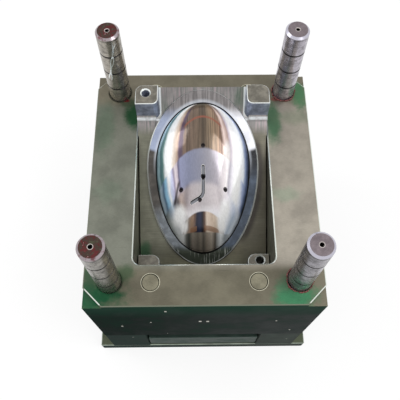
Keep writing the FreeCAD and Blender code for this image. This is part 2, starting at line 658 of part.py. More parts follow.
def build_foot_strip(name, side):
    """The sloped strip where a back lug's front face meets the parting face."""
    owner = new_body(name)
    face = value(f"{INSERT_LENGTH} / 2 - sizes.lugSize")
    reach = value("sizes.footRadius")
    high = parting_height(face, PARTING_FACE) + reach
    toe = face - reach
    low = parting_height(toe, PARTING_FACE)
    corners = [(f"{face + reach:.4f}", f"{low - reach:.4f}"), (f"{face + reach:.4f}", f"{high:.4f}"),
               (f"{face:.4f}", f"{high:.4f}"), (f"{toe:.4f}", f"{low:.4f}"),
               (f"{toe:.4f}", f"{low - reach:.4f}")]
    width = "(sizes.lugSize - sizes.lugRadius / 2)"
    lift = f"{side}({INSERT_WIDTH} / 2 - {width} / 2)"
    section = polygon(owner, f"{name}_section", "YZ_Plane", corners, lift)
    pad(owner, f"{name}_pad", section, width, middle=True)
    return owner


def build_land():
    """The raised egg-shaped land that frames the core, with a chamfered outer edge."""
    slab = build_parting_slab("land_slab", LAND)
    column = new_body("land_column")
    outline = egg(column, "land_outline", "sizes.landHalfWidth", "sizes.landBack",
                  "sizes.landFront", POCKET_FLOOR)
    pad(column, "land_pad", outline, "2 * sizes.pocketDepth")
    band = boolean_common("land_form", slab, column)
    owner = new_body("land")
    owner.BaseFeature = band
    doc.recompute()
    half_width = value("sizes.landHalfWidth")
    middle = value("sizes.eggCentre")
    floor = value(POCKET_FLOOR)

    def on_rim(edge):
        place_on = edge.valueAt((edge.FirstParameter + edge.LastParameter) / 2)
        reach = value("sizes.landBack" if place_on.y > middle else "sizes.landFront")
        measure = (place_on.x / half_width) ** 2 + ((place_on.y - middle) / reach) ** 2
        return abs(measure - 1) < 1e-4 and edge.BoundBox.ZMin > floor + 1 and not is_vertical(edge)

    dress(owner, "Chamfer", "land_chamfer", "sizes.landChamfer", on_rim)
    return owner


def build_ramp():
    """Cutter for the front of the land, which falls away under the neck and flares out."""
    blade = new_body("ramp_blade")
    nose = "(sizes.eggCentre - sizes.eggFront)"
    rim = "(sizes.eggCentre - sizes.landFront)"
    inside = f"({nose} + sizes.landHeight)"
    high = f"({PARTING})"
    fall = f"(({slope_at(rim, 'sizes.landHeight')} - sizes.rampDrop - {slope_at(nose, 'sizes.landHeight')})"
    pitch = f"({fall} / ({rim} - {nose})))"
    corners = []
    for along in (inside, f"({rim} - sizes.landHeight)"):
        corners.append((along, f"({slope_at(nose, 'sizes.landHeight')} + {pitch} * ({along} - {nose}))"))
    corners += [(corners[1][0], high), (inside, high)]
    section = polygon(blade, "ramp_section", "YZ_Plane", corners)
    pad(blade, "ramp_pad", section, "2 * sizes.landHalfWidth", middle=True)
    plan = new_body("ramp_plan")
    narrow = "sizes.rampHalfWidth"
    wide = "(sizes.rampHalfWidth + sizes.rampFlare)"
    start = f"({nose} + sizes.landHeight)"
    finish = f"({rim} - sizes.landHeight)"
    outline = polygon(plan, "ramp_outline", "XY_Plane",
                      [(f"-{narrow}", start), (f"-{wide}", finish), (wide, finish),
                       (narrow, start)], POCKET_FLOOR)
    pad(plan, "ramp_column", outline, "2 * sizes.pocketDepth")
    return boolean_common("ramp_cutter", blade, plan)


def build_insert():
    """The insert: sloping parting face, land, four corner lugs and the core's egg-shaped bore."""
    back_top = f"({PARTING} + sizes.backLugRise)"
    front_top = f"({PARTING} - sizes.frontLugDrop)"
    pieces = [build_parting_slab("parting_slab", PARTING_FACE), build_land()]
    for label, side in (("left", "-"), ("right", "")):
        pieces.append(build_lug(f"lug_back_{label}", side, "", back_top, "sizes.lugRadius"))
        pieces.append(build_lug(f"lug_front_{label}", side, "-", front_top, "sizes.frontLugRadius"))
        pieces.append(build_foot_strip(f"foot_strip_{label}", side))
    form = fuse("insert_form", pieces)
    column = new_body("insert_column")
    outline = rectangle(column, "insert_outline", INSERT_WIDTH, INSERT_LENGTH, POCKET_FLOOR)
    pad(column, "insert_pad", outline, "2 * sizes.pocketDepth")
    dress(column, "Fillet", "insert_corners", "sizes.pocketRadius", is_vertical)
    shaped = boolean("Cut", "insert_shaped", boolean_common("insert_trimmed", form, column),
                     build_ramp())

    owner = new_body("insert_block")
    owner.BaseFeature = shaped
    doc.recompute()
    tops = [value(back_top), value(front_top)]
    dress(owner, "Chamfer", "lug_chamfers", "sizes.lugChamfer",
          lambda edge: any(lies_at(edge, top) for top in tops))
    over = "sizes.overcut"
    high = f"({PARTING} + sizes.backRise + {over})"
    bore = egg(owner, "core_bore_outline", "sizes.eggHalfWidth + sizes.coreFit",
               "sizes.eggBack + sizes.coreFit", "sizes.eggFront + sizes.coreFit", high)
    pocket(owner, "core_bore", bore, f"{high} - {POCKET_FLOOR} + {over}")
    step = "(sizes.heelWidth + sizes.heelFit)"
    rise = "(sizes.heelHeight + sizes.heelFit)"
    heel = egg(owner, "heel_seat_outline", f"sizes.eggHalfWidth + {step}",
               f"sizes.eggBack + {step}", f"sizes.eggFront + {step}", f"{POCKET_FLOOR} + {rise}")
    pocket(owner, "heel_seat", heel, f"{rise} + {over}")

    lug_holes = (("back", ("-sizes.lugHoleX", "sizes.backHoleY"), back_top),
                 ("front", ("sizes.lugHoleX", "-sizes.frontHoleY"), front_top))
    for label, spot, top in lug_holes:
        drill(owner, f"lug_hole_{label}", [spot], "sizes.lugHoleRadius", top, "sizes.lugHoleDepth")
    radius = value("sizes.lugHoleRadius")
    dress(owner, "Chamfer", "lug_hole_chamfers", "sizes.lugHoleChamfer",
          lambda edge: any(lies_at(edge, top) for top in tops)
          and abs(edge.BoundBox.XLength - 2 * radius) < 0.01)
    drill(owner, "insert_threads", INSERT_SCREWS, "sizes.insertScrewRadius + sizes.screwFit",
          f"{POCKET_FLOOR} + sizes.insertThread", f"sizes.insertThread + {over}")

    half = f"{INSERT_LENGTH} / 2"
    ends = [f"-({half} + {over})", "sizes.reliefEnd"]
    corners = [(ends[0], slope_at(ends[0], "(-sizes.reliefDepth)")),
               (ends[1], slope_at(ends[1], "(-sizes.reliefDepth)")),
               (ends[1], high), (ends[0], high)]
    for label, lift in (("right", f"{INSERT_WIDTH} / 2 + {over}"),
                        ("left", f"sizes.reliefGap - {INSERT_WIDTH} / 2")):
        section = polygon(owner, f"relief_{label}_section", "YZ_Plane", corners, lift)
        pocket(owner, f"relief_{label}", section, f"sizes.reliefGap + {over}")
    return owner


# ---- core ---------------------------------------------------------------------------------
# Over the land the core rises by domeHeight * (1 - r ^ domePower), where r is 1 on the egg
# outline and 0 at its centre. The neck at the front rises by neckHeight * (1 - r ^ nosePower
# - (x / width) ^ neckPower), its width flares towards the nose, and it sinks into the dome
# behind the mould's middle. The higher one counts, with a small blend in the crease between.

def egg_measure(across, along):
    middle = value("sizes.eggCentre")
    reach = value("sizes.eggBack" if along > middle else "sizes.eggFront")
    return math.hypot(across / value("sizes.eggHalfWidth"), (along - middle) / reach)


def dome_rise(across, along):
    return value("sizes.domeHeight") * (1 - egg_measure(across, along) ** value("sizes.domePower"))


def neck_rise(across, along):
    run = max(0.0, -value("sizes.neckStart") - along) / value("sizes.neckReach")
    width = value("sizes.neckHalfWidth") + value("sizes.neckFlare") * run ** 2
    nose = egg_measure(across, along) ** value("sizes.nosePower")
    crest = 1 - nose - abs(across / width) ** value("sizes.neckPower")
    return value("sizes.neckHeight") * crest - value("sizes.neckFall") * max(0.0, along)


def crown_height(across, along):
    """Height of the core's surface over the plate's top, the crease at the neck blended."""
    dome = dome_rise(across, along)
    neck = neck_rise(across, along)
    blend = value("sizes.creaseBlend")
    rise = (dome + neck + math.hypot(dome - neck, blend)) / 2
    return parting_height(along, LAND) - value(PARTING) + rise


def spline_places(low, high, count):
    """Distinct knots of an even cubic spline with count poles, and the places of its poles."""
    spans = count - 3
    knots = [low + (high - low) * step / spans for step in range(spans + 1)]
    padded = [low] * 3 + knots + [high] * 3
    return knots, [sum(padded[pole + 1:pole + 4]) / 3 for pole in range(count)]


def build_crown():
    """A solid under the core's surface, a little larger in plan than the egg outline."""
    half = value("sizes.eggHalfWidth + sizes.crownMargin")
    front = value("sizes.eggCentre - sizes.eggFront - sizes.crownMargin")
    back = value("sizes.eggCentre + sizes.eggBack + sizes.crownMargin")
    knots_x, places_x = spline_places(-half, half, round(value("sizes.crownCountX")))
    knots_y, places_y = spline_places(front, back, round(value("sizes.crownCountY")))
    step_x, step_y = knots_x[1] - knots_x[0], knots_y[1] - knots_y[0]
    top = value(PARTING)

    def pole(x, y):
        """The pole that makes the spline pass through the surface at this place."""
        here = crown_height(x, y)
        bend = crown_height(x + step_x, y) + crown_height(x - step_x, y) - 2 * here
        bend += crown_height(x, y + step_y) + crown_height(x, y - step_y) - 2 * here
        return FreeCAD.Vector(x, y, top + here - bend / 6)

    ends_x = [4] + [1] * (len(knots_x) - 2) + [4]
    ends_y = [4] + [1] * (len(knots_y) - 2) + [4]
    surface = Part.BSplineSurface()
    surface.buildFromPolesMultsKnots([[pole(x, y) for y in places_y] for x in places_x],
                                     ends_x, ends_y, knots_x, knots_y, False, False, 3, 3)
    solid = surface.toShape().extrude(FreeCAD.Vector(0, 0, -top))
    item = doc.addObject("Part::Feature", "crown_form")
    item.Shape = solid
    item.Label = "crown_form"
    doc.recompute()
    return item


def build_runner():
    """Ball-milled runner: back slug well, straight run to the front, then a bend to the left."""
    radius = value("sizes.runnerRadius")
    length = value("sizes.runnerLength")
    turn = value("sizes.runnerTurn")
    reach = value("sizes.runnerReach")
    fall = value("sizes.runnerFall")
    plan = [(0, value("sizes.slugLength")), (0, 0), (0, -length / 2), (0, turn - length),
            (-turn / 3, turn / 3 - length), (-turn, -length - turn / 6),
            (-reach, -length - fall + turn)]
    spots = [FreeCAD.Vector(x, y, value(PARTING) + crown_height(x, y)) for x, y in plan]
    balls = [Part.makeSphere(radius, spot) for spot in spots]
    rods = [Part.makeCylinder(radius, (b - a).Length, a, b - a) for a, b in zip(spots, spots[1:])]
    item = doc.addObject("Part::Feature", "runner_cutter")
    item.Shape = balls[0].multiFuse(balls[1:] + rods)
    item.Label = "runner_cutter"
    return item


def build_core(crown):
    shank = new_body("core_shank")
    outline = egg(shank, "shank_outline", "sizes.eggHalfWidth", "sizes.eggBack",
                  "sizes.eggFront", POCKET_FLOOR)
    pad(shank, "shank_pad", outline, "2 * sizes.pocketDepth")
    heel = new_body("core_heel")
    outline = egg(heel, "heel_outline", "sizes.eggHalfWidth + sizes.heelWidth",
                  "sizes.eggBack + sizes.heelWidth", "sizes.eggFront + sizes.heelWidth",
                  POCKET_FLOOR)
    pad(heel, "heel_pad", outline, "sizes.heelHeight")
    form = fuse("core_form", [boolean_common("core_trimmed", shank, crown), heel])
    milled = boolean("Cut", "core_milled", form, build_runner())
    owner = new_body("core")
    owner.BaseFeature = milled
    doc.recompute()
    high = f"({PARTING} + sizes.backRise + sizes.domeHeight)"
    depth = f"{high} - {POCKET_FLOOR} + sizes.overcut"
    drill(owner, "eject_bores", list(EJECT_PINS.values()),
          "sizes.ejectPinRadius + sizes.slidingFit", high, depth)
    drill(owner, "puller_bore", [PULLER], "sizes.pullerRadius + sizes.slidingFit", high, depth)
    drill(owner, "core_threads", CORE_SCREWS, "sizes.coreScrewRadius + sizes.screwFit",
          f"{POCKET_FLOOR} + sizes.coreThread", "sizes.coreThread + sizes.overcut")
    return owner


# ---- the whole half -----------------------------------------------------------------------

def build_all():
    crown = build_crown()
    nodes = [build_clamp_plate(), build_spacer("spacer_block_left", "-"),
             build_spacer("spacer_block_right", ""), build_core_plate(), build_insert(),
             build_core(crown)]
    nodes += build_ejector_plates()
    corners = [(f"{end}_{side}", sign_x, sign_y) for side, sign_x in (("left", "-"), ("right", ""))
               for end, sign_y in (("front", "-"), ("back", ""))]
    for label, sign_x, sign_y in corners:
        nodes.append(build_leader_pin(f"leader_pin_{label}", f"{sign_x}sizes.leaderX",
                                      f"{sign_y}sizes.leaderY"))
        nodes.append(build_return_pin(f"return_pin_{label}", f"{sign_x}{RETURN_X}",
                                      f"{sign_y}sizes.returnY"))
    for label, spot in EJECT_PINS.items():
        nodes.append(build_core_pin(f"ejector_pin_{label}", *spot, "sizes.ejectPinRadius",
                                    "sizes.ejectPinDrop"))
    nodes.append(build_core_pin("sprue_puller_pin", *PULLER, "sizes.pullerRadius",
                                "sizes.pullerDrop"))
    nodes.append(build_stop_buttons())
    nodes.append(build_return_springs())

    recess = "sizes.headRecess"
    gap = "sizes.overcut"
    screws = (
        ("clamp_screws", "sizes.clampScrewRadius", ("sizes.clampScrewX", "sizes.clampScrewY"),
         f"({recess})", f"({PLATE_BOTTOM} + sizes.clampThread - {gap})"),
        ("ejector_plate_screws", "sizes.ejectScrewRadius",
         ("sizes.ejectScrewX", "sizes.ejectScrewY"),
         f"({EJECTOR_BOTTOM} + {recess})", f"({RETAINER_BOTTOM} + sizes.ejectThread - {gap})"),
        ("insert_screws", "sizes.insertScrewRadius",
         ("sizes.insertScrewX", "sizes.insertScrewY"),
         f"({PLATE_BOTTOM} + {recess})", f"({POCKET_FLOOR} + sizes.insertThread - {gap})"),
        ("core_screws", "sizes.coreScrewRadius", ("sizes.coreScrewX", "sizes.coreScrewY"),
         f"({PLATE_BOTTOM} + {recess})", f"({POCKET_FLOOR} + sizes.coreThread - {gap})"),
    )
    for name, radius, spot, head_at, tip_at in screws:
        nodes.append(build_screws(name, radius, spot, head_at, tip_at))
    return nodes


nodes = build_all()
doc.recompute()
for item in doc.Objects:
    if {"Invalid", "Error"} & set(item.State):
        raise RuntimeError(f"{item.Label} did not recompute: {item.State}")
for node in nodes:
    if node.Shape.isNull() or not node.Shape.isValid():
        raise RuntimeError(f"{node.Label} has no valid shape")

os.makedirs("parts", exist_ok=True)
for node in nodes:
    node.Shape.exportStep(os.path.join("parts", f"{node.Label}.step"))
    box = node.Shape.BoundBox
    print(f"{node.Label}: {len(node.Shape.Solids)} solid, {node.Shape.Volume / 1000:.0f} cm3,",
          f"z {box.ZMin:.1f} to {box.ZMax:.1f}")
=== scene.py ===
import bpy
import math
import numpy as np
from functools import partial
from mathutils import Matrix, Vector


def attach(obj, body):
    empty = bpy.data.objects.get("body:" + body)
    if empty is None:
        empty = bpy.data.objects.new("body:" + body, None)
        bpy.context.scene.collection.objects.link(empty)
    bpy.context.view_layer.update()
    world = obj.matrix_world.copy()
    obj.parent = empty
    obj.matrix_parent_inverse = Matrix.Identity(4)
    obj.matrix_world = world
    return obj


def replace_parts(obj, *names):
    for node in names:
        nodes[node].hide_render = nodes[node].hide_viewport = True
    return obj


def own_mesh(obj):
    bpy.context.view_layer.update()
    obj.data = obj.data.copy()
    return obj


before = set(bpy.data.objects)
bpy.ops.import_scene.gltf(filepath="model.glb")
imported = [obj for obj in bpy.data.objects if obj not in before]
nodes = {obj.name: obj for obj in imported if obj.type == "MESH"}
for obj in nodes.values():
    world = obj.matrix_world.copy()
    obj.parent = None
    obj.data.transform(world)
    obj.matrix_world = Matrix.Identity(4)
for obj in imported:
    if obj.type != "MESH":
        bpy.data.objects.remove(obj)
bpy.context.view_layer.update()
print("frame loaded:", len(nodes), "nodes")

# Lengths are in millimetres from the parting face's height, and become metres in the mesh.
perMetre = 1000
mould = {"parting": 360.0, "front": -200.0, "pocketWidth": 210.0, "pocketLength": 277.0,
         "leaderX": 137.0, "leaderY": 163.0, "leaderRise": 150.0}
# the outlines of the core and of the land round it, each of two half ellipses
coreEgg = {"Half Width": 75.0, "Back": 88.0, "Front": 124.0, "Centre": 30.0}
landEgg = {"Half Width": 90.0, "Back": 106.0, "Front": 140.0, "Centre": 30.0}


def colour(red, green, blue):
    # an sRGB colour of 0 to 255 as the linear one that shaders take
    parts = [part / 255 for part in (red, green, blue)]
    return [part / 12.92 if part <= 0.04045 else ((part + 0.055) / 1.055) ** 2.4
            for part in parts] + [1.0]


def asColour(value):
    # a look's three numbers become a colour; sockets and linear colours stay
    return colour(*value) if isinstance(value, tuple) and len(value) == 3 else value


def fill(node, inputs):
    # an input is a number, a colour or another node's socket
    for name, value in inputs.items():
        if isinstance(value, bpy.types.NodeSocket):
            node.id_data.links.new(value, node.inputs[name])
        else:
            node.inputs[name].default_value = value


def addNode(tree, kind, inputs=(), **settings):
    # makes a shader node and gives its outputs
    node = tree.nodes.new("ShaderNode" + kind)
    for name, value in settings.items():
        setattr(node, name, value)
    fill(node, dict(inputs))
    return node.outputs


def calculate(operation, first, second=None, kind="Math"):
    # works on one or two values, of which at least one is a socket
    inputs = {0: first} if second is None else {0: first, 1: second}
    socket = first if isinstance(first, bpy.types.NodeSocket) else second
    return addNode(socket.id_data, kind, inputs, operation=operation)[0]


times, plus, minus, over, larger, above, below, sizeOf, root = [
    partial(calculate, operation) for operation in (
        "MULTIPLY", "ADD", "SUBTRACT", "DIVIDE", "MAXIMUM", "GREATER_THAN", "LESS_THAN",
        "ABSOLUTE", "SQRT")]


def blendColours(mask, first, second):
    # the first colour where the mask is 0, the second where it is 1
    return addNode(mask.id_data, "Mix", {0: mask, 6: asColour(first), 7: asColour(second)},
                   data_type="RGBA")[2]


def paint(surface, *coats):
    # lays colours on a surface in turn, each where its mask is 1
    for mask, tone in coats:
        surface = blendColours(mask, surface, tone)
    return surface


def blendValues(mask, first, second):
    return addNode(mask.id_data, "Mix", {0: mask, 2: first, 3: second})[0]


def timesGrey(surface, value):
    # a colour made darker or lighter by a value
    surface = asColour(surface)
    first = surface[:3] if isinstance(surface, list) else surface
    return addNode(value.id_data, "VectorMath", {0: first, "Scale": value}, operation="SCALE")[0]


def fade(value, low, high, start=0.0, end=1.0):
    # goes smoothly from start to end as the value goes from low to high
    return addNode(value.id_data, "MapRange", {0: value, 1: low, 2: high, 3: start, 4: end},
                   interpolation_type="SMOOTHSTEP")[0]


def band(value, middle, reach, soft):
    # 1 within reach of the middle, fading to 0 over the soft width
    return fade(sizeOf(minus(value, middle)), reach, reach + soft, 1.0, 0.0)


def axes(vector):
    return addNode(vector.id_data, "SeparateXYZ", {0: vector})


def noiseOf(vector, scale, detail, roughness=0.5):
    return addNode(vector.id_data, "TexNoise", {"Vector": vector, "Scale": scale,
                                                "Detail": detail, "Roughness": roughness})[0]


def rampOf(value, low, high, stops):
    # colours at places between low and high, blended evenly between them
    scaled = addNode(value.id_data, "MapRange", {0: value, 1: low, 2: high})[0]
    ramp = addNode(value.id_data, "ValToRGB", {0: scaled})[0]
    points = ramp.node.color_ramp.elements
    for index, (place, *tone) in enumerate(stops):
        spot = (place - low) / (high - low)
        point = points[index] if index < 2 else points.new(spot)
        point.position = spot
        point.color = colour(*tone)
    return ramp


def newGroup(name, vectors, numbers, outputs):
    # a node group with named inputs, vectors and then numbers; its outputs are numbers
    tree = bpy.data.node_groups.new(name, "ShaderNodeTree")
    for labels, way, kind in ((vectors, "INPUT", "Vector"), (numbers, "INPUT", "Float"),
                              (outputs, "OUTPUT", "Float")):
        for label in labels:
            tree.interface.new_socket(label, in_out=way, socket_type="NodeSocket" + kind)
    return tree, tree.nodes.new("NodeGroupInput").outputs, tree.nodes.new("NodeGroupOutput")


def useGroup(group, position, inputs):
    return addNode(position.id_data, "Group", {"Position": position, **inputs}, node_tree=group)


def makeGrain():
    # cutter and grinding marks: noise stretched along one axis, and slow cloudy unevenness
    tree, given, result = newGroup("steelGrain", ["Position", "Stretch"], ["Cloud Size"],
                                   ["Lines", "Clouds"])
    position = given["Position"]
    drawn = calculate("MULTIPLY", position, given["Stretch"], "VectorMath")
    fill(result, {"Lines": noiseOf(drawn, 1.0, 4.0, 0.6),
                  "Clouds": noiseOf(position, over(1.0, given["Cloud Size"]), 5.0, 0.62)})
    return tree


def makePatch():
    # an oval patch with a ragged, cloudy edge: 1 in its middle and 0 outside; it places dye stains,
    # painted highlights and painted shade
    tree, given, result = newGroup("dyeAndPaintedLightPatch", ["Position", "Centre", "Reach"],
                                   ["Ragged", "Strength"], ["Mask"])
    offset = calculate("SUBTRACT", given["Position"], given["Centre"], "VectorMath")
    scaled = calculate("DIVIDE", offset, given["Reach"], "VectorMath")
    distance = addNode(tree, "VectorMath", {0: scaled}, operation="LENGTH")["Value"]
    noise = noiseOf(given["Position"], 0.07, 6.0, 0.65)
    shift = times(minus(noise, 0.5), given["Ragged"])
    mask = fade(plus(distance, shift), 0.35, 1.1, 1.0, 0.0)
    fill(result, {"Mask": times(mask, given["Strength"])})
    return tree


def makeEgg():
    # measure: 0 at the egg's centre and 1 on its outline, two half ellipses; offset: how many
    # millimetres outside it a place is; share: of the half width at that length
    tree, given, result = newGroup("eggMeasure", ["Position"], [
        "Half Width", "Back", "Front", "Centre"], ["Measure", "Offset", "Share"])
    across, along, _ = axes(given["Position"])
    offset = minus(along, given["Centre"])
    reach = blendValues(above(offset, 0.0), given["Front"], given["Back"])
    lengthwise = calculate("POWER", sizeOf(over(offset, reach)), 2.0)
    crosswise = over(across, given["Half Width"])
    measure = root(plus(lengthwise, times(crosswise, crosswise)))
    away = root(plus(times(across, across), times(offset, offset)))
    beyond = over(minus(measure, 1.0), larger(measure, 0.1))
    room = larger(minus(1.0, lengthwise), 0.02)
    fill(result, {"Measure": measure, "Offset": times(beyond, away),
                  "Share": over(crosswise, root(room))})
    return tree


def makeSpecks():
    # small chips or pits scattered at random, of about the given spacing and size
    tree, given, result = newGroup("specks", ["Position"], ["Spacing", "Size", "Share"], ["Mask"])
    cells = addNode(tree, "TexVoronoi", {"Vector": given["Position"],
                                         "Scale": over(1.0, given["Spacing"])})
    near = below(cells["Distance"], given["Size"])
    chosen = below(axes(cells["Color"])[0], given["Share"])
    fill(result, {"Mask": times(near, chosen)})
    return tree


grainGroup, patchGroup, eggGroup, speckGroup = makeGrain(), makePatch(), makeEgg(), makeSpecks()


def grainAt(position, stretch, cloudSize):
    return useGroup(grainGroup, position, {"Stretch": stretch, "Cloud Size": cloudSize})


def patchAt(position, centre, reach, depth, ragged, strength):
    return useGroup(patchGroup, position, {
        "Centre": (*centre, 0), "Reach": (*reach, depth), "Ragged": ragged,
        "Strength": strength})[0]


def glint(position, centre, reach, strength=1.0):
    # a soft oval spot that goes through the whole height, for painted highlights and painted shade
    return patchAt(position, centre, reach, 900, 0.35, strength)


def newMaterial(name, roughness, metallic=1.0):
    # a material with its Principled shader and the place in millimetres over the parting face
    material = bpy.data.materials.new(name)
    material.use_nodes = True
    shader = material.node_tree.nodes["Principled BSDF"]
    fill(shader, {"Roughness": roughness, "Metallic": metallic})
    place = addNode(material.node_tree, "TexCoord")["Object"]
    position = addNode(material.node_tree, "Mapping", {
        "Vector": place, "Location": (0, 0, -mould["parting"]), "Scale": (perMetre,) * 3})[0]
    return material, shader, position


def roughen(shader, height, marks):
    # fine relief, of the marks' depth in metres and their strength
    bump = addNode(shader.id_data, "Bump", {"Height": height, "Distance": marks[0],
                                            "Strength": marks[1]})
    fill(shader, {"Normal": bump[0]})


def facing(position):
    # how far a face looks up: 1 on tops, 0 on sides
    return axes(addNode(position.id_data, "NewGeometry")["Normal"])[2]


def topsAndChamfers(level):
    # flat tops, and what slopes between them and the sides
    return above(level, 0.9), times(above(level, 0.2), below(level, 0.9))


def cornerDistance(across, along, x, y):
    # how far the nearest of four like points is, one towards each corner
    dx, dy = minus(sizeOf(across), x), minus(sizeOf(along), y)
    return root(plus(times(dx, dx), times(dy, dy)))


plateLook = {
    "topLeft": (115, 117, 107), "topRight": (154, 148, 137), "back": (116, 111, 97),
    # edge: the near-white chamfers, a painted highlight on the bare steel
    "front": (110, 106, 92), "edge": (222, 228, 220), "outerEdge": (120, 124, 110),
    # sideLeft to sideRight: the front paint, darker on the left as painted shade
    "sideLeft": (16, 26, 23), "sideRight": (50, 54, 53), "sideTop": (26, 56, 44),
    "sideCloud": (26, 54, 42), "chip": (190, 188, 180), "wall": (120, 120, 108),
    "metal": 0.85, "roughness": 0.42, "film": 1.02, "marks": (0.00006, 0.5),
    # from where to where one tone goes over into the next
    "toRight": (-130, 120), "toBack": (128, 150), "toFront": (-134, -152),
    "sideToRight": (-175, 190), "sideToTop": (-85, -4), "topShare": 0.75,
    "specks": {"Spacing": 34.0, "Size": 0.035, "Share": 0.34},
    # paint chips on the front face: x, height and half width
    "chips": [(-57.6, -33, 1.3), (-134, -138, 1.2), (-6.4, -106, 1.8), (5.6, -107, 1.8),
              (-85, -110, 0.8), (115, -107, 0.9), (148, -184, 0.9)],
    # rings round the pins: x, y, radius, half width, softness, colour, strength; a painted
    # highlight on the return pins' hole chamfers, their dark gaps, and a painted shadow round the
    # leader pins' foot
    "rings": [(78, 165, 13.3, 0.3, 0.5, (216, 212, 190), 0.85),
              (78, 165, 12.5, 0.4, 0.4, (40, 40, 34), 1.0),
              (137, 163, 18.2, 0.7, 2.2, (48, 50, 42), 0.8)],
    # green and red patches on the top: centre x, y; reach x, y; strength; colour
    "dye": [((-113, 118), (20, 34), 1.0, (42, 76, 52)), ((-120, 143), (22, 12), 0.7, (62, 80, 60)),
            ((-160, 96), (22, 60), 0.55, (84, 104, 86)),
            ((-162, -186), (62, 26), 1.0, (38, 82, 56)),
            ((-116, -152), (18, 18), 0.8, (62, 82, 60)), ((116, 104), (17, 52), 0.9, (72, 112, 82)),
            ((164, 158), (16, 40), 0.95, (76, 116, 84)),
            ((128, -186), (40, 26), 0.95, (62, 120, 86)),
            ((118, -168), (18, 18), 0.6, (74, 106, 82)),
            ((148, 112), (46, 18), 0.35, (104, 124, 98)),
            ((126, -28), (30, 16), 0.4, (120, 142, 120)),
            ((-146, -20), (30, 26), 0.3, (96, 116, 98)),
            ((-166, -160), (12, 50), 0.8, (52, 84, 62)),
            ((-126, 147), (7, 4), 1.0, (104, 36, 40)), ((122, 148), (9, 5), 0.7, (128, 66, 66))],
    "dyeDepth": 60, "dyeRagged": 1.1,
}


def makePlateSteel(look):
    # ground top with green dye, chamfers painted near white as a painted highlight, thin dark paint
    # on the sides with painted shade towards the left
    material, shader, position = newMaterial("groundPlate", look["roughness"])
    across, along, up = axes(position)
    lines, clouds = grainAt(position, (0.22, 1.4, 0.6), 46.0)
    top = blendColours(fade(across, *look["toRight"]), look["topLeft"], look["topRight"])
    top = paint(top, (fade(along, *look["toBack"]), look["back"]),
                (fade(along, *look["toFront"]), look["front"]))
    # the pale ring is a painted highlight and the leader pins' dark ring a painted shadow
    for x, y, radius, width, soft, tone, strength in look["rings"]:
        ring = band(cornerDistance(across, along, x, y), radius, width, soft)
        top = blendColours(times(ring, strength), top, tone)
    for centre, reach, strength, tone in look["dye"]:
        mask = patchAt(position, centre, reach, look["dyeDepth"], look["dyeRagged"], strength)
        top = blendColours(mask, top, tone)
    top = timesGrey(top, fade(clouds, 0.36, 0.66, 0.86, 1.1))
    turned = addNode(position.id_data, "Mapping", {
        "Vector": position, "Rotation": (0, 0, 0.5), "Scale": (0.02, 0.55, 1)})[0]
    scratch = fade(noiseOf(turned, 1.0, 5.0, 0.7), 0.26, 0.4, 0.7, 1.0)
    top = timesGrey(top, times(scratch, fade(lines, 0.3, 0.7, 0.94, 1.06)))

    # painted shade: the painted sides go from darker on the left to lighter on the right
    side = blendColours(fade(across, *look["sideToRight"]), look["sideLeft"], look["sideRight"])
    high = times(fade(up, *look["sideToTop"]), look["topShare"])
    side = blendColours(high, side, look["sideTop"])
    side = blendColours(fade(clouds, 0.45, 0.75, 0.0, 0.4), side, look["sideCloud"])
    chips = useGroup(speckGroup, position, look["specks"])[0]
    for x, z, size in look["chips"]:
        spot = times(band(across, x, size, 0.6), band(up, z, size * 1.6, 1.5))
        chips = larger(chips, times(spot, below(along, mould["front"] + 1)))
    side = blendColours(chips, side, look["chip"])
    inside = times(below(sizeOf(across), mould["pocketWidth"] / 2 + 2),
                   below(sizeOf(along), mould["pocketLength"] / 2 + 2))
    side = blendColours(inside, side, look["wall"])
    flat, sloped = topsAndChamfers(facing(position))
    surface = blendColours(flat, side, top)
    # the chamfers' near-white tone is a painted highlight; the plate's long outer edges are duller
    # than the pry corners and the pocket's rim
    outer = larger(fade(sizeOf(along), 196, 198), fade(across, -171, -173))
    rim = blendColours(outer, look["edge"], look["outerEdge"])
    bare = larger(larger(flat, sloped), inside)
    rough = minus(look["roughness"], times(sloped, 0.12))
    rough = plus(fade(clouds, 0.3, 0.7, -0.06, 0.12), rough)
    fill(shader, {"Base Color": blendColours(sloped, surface, rim), "IOR": look["film"],
                  "Metallic": times(bare, look["metal"]), "Roughness": rough})
    roughen(shader, lines, look["marks"])
    return material


insertLook = {
    "floor": (122, 118, 102), "floorLeft": (112, 112, 98), "floorFront": (132, 130, 112),
    "drop": (46, 40, 36), "back": (132, 130, 128), "streak": (156, 142, 144),
    # the land tones are a painted reflection on the polished land
    "dark": (98, 98, 98), "landRear": (122, 118, 118), "landBlue": (156, 166, 190),
    "landLight": (236, 236, 242), "landDim": (78, 74, 70), "landRight": (44, 46, 50),
    "landGrey": (120, 126, 132), "landSteel": (74, 84, 98), "landNose": (70, 76, 68),
    "noseStreak": (172, 176, 172), "landInner": (210, 216, 226),
    # edge and rim: near-white painted highlights on the chamfers and the land's outer edge
    "edge": (226, 230, 228), "rim": (200, 204, 204), "seam": (6, 6, 8), "dye": (56, 92, 64),
    "wall": (70, 74, 76), "lugSide": (140, 148, 166), "lugTop": (120, 116, 106),
    # foot: a near-white painted highlight along the foot of the lugs
    "foot": (236, 240, 244), "metal": 0.5, "roughness": 0.3, "landRoughness": 0.18,
    "marks": (0.00008, 0.4), "hole": ((-89, 124), (5.0, 5.0)),
    # from where to where one tone goes over into the next
    "toLeft": (60, -104), "toFront": (-84, -112), "toBack": (76, 96), "toNose": (-82, -92),
    "toRear": (96, 116), "toLower": (8, -26), "toUpper": (27, 33),
    # green patches: centre, reach, strength
    "dyePatches": [((-96, -92), (14, 24), 0.9), ((66, 128), (18, 20), 0.5),
                   ((-62, 112), (12, 18), 0.25), ((-90, -130), (12, 10), 0.5)],
    "dyeDepth": 400, "dyeRagged": 1.0,
}


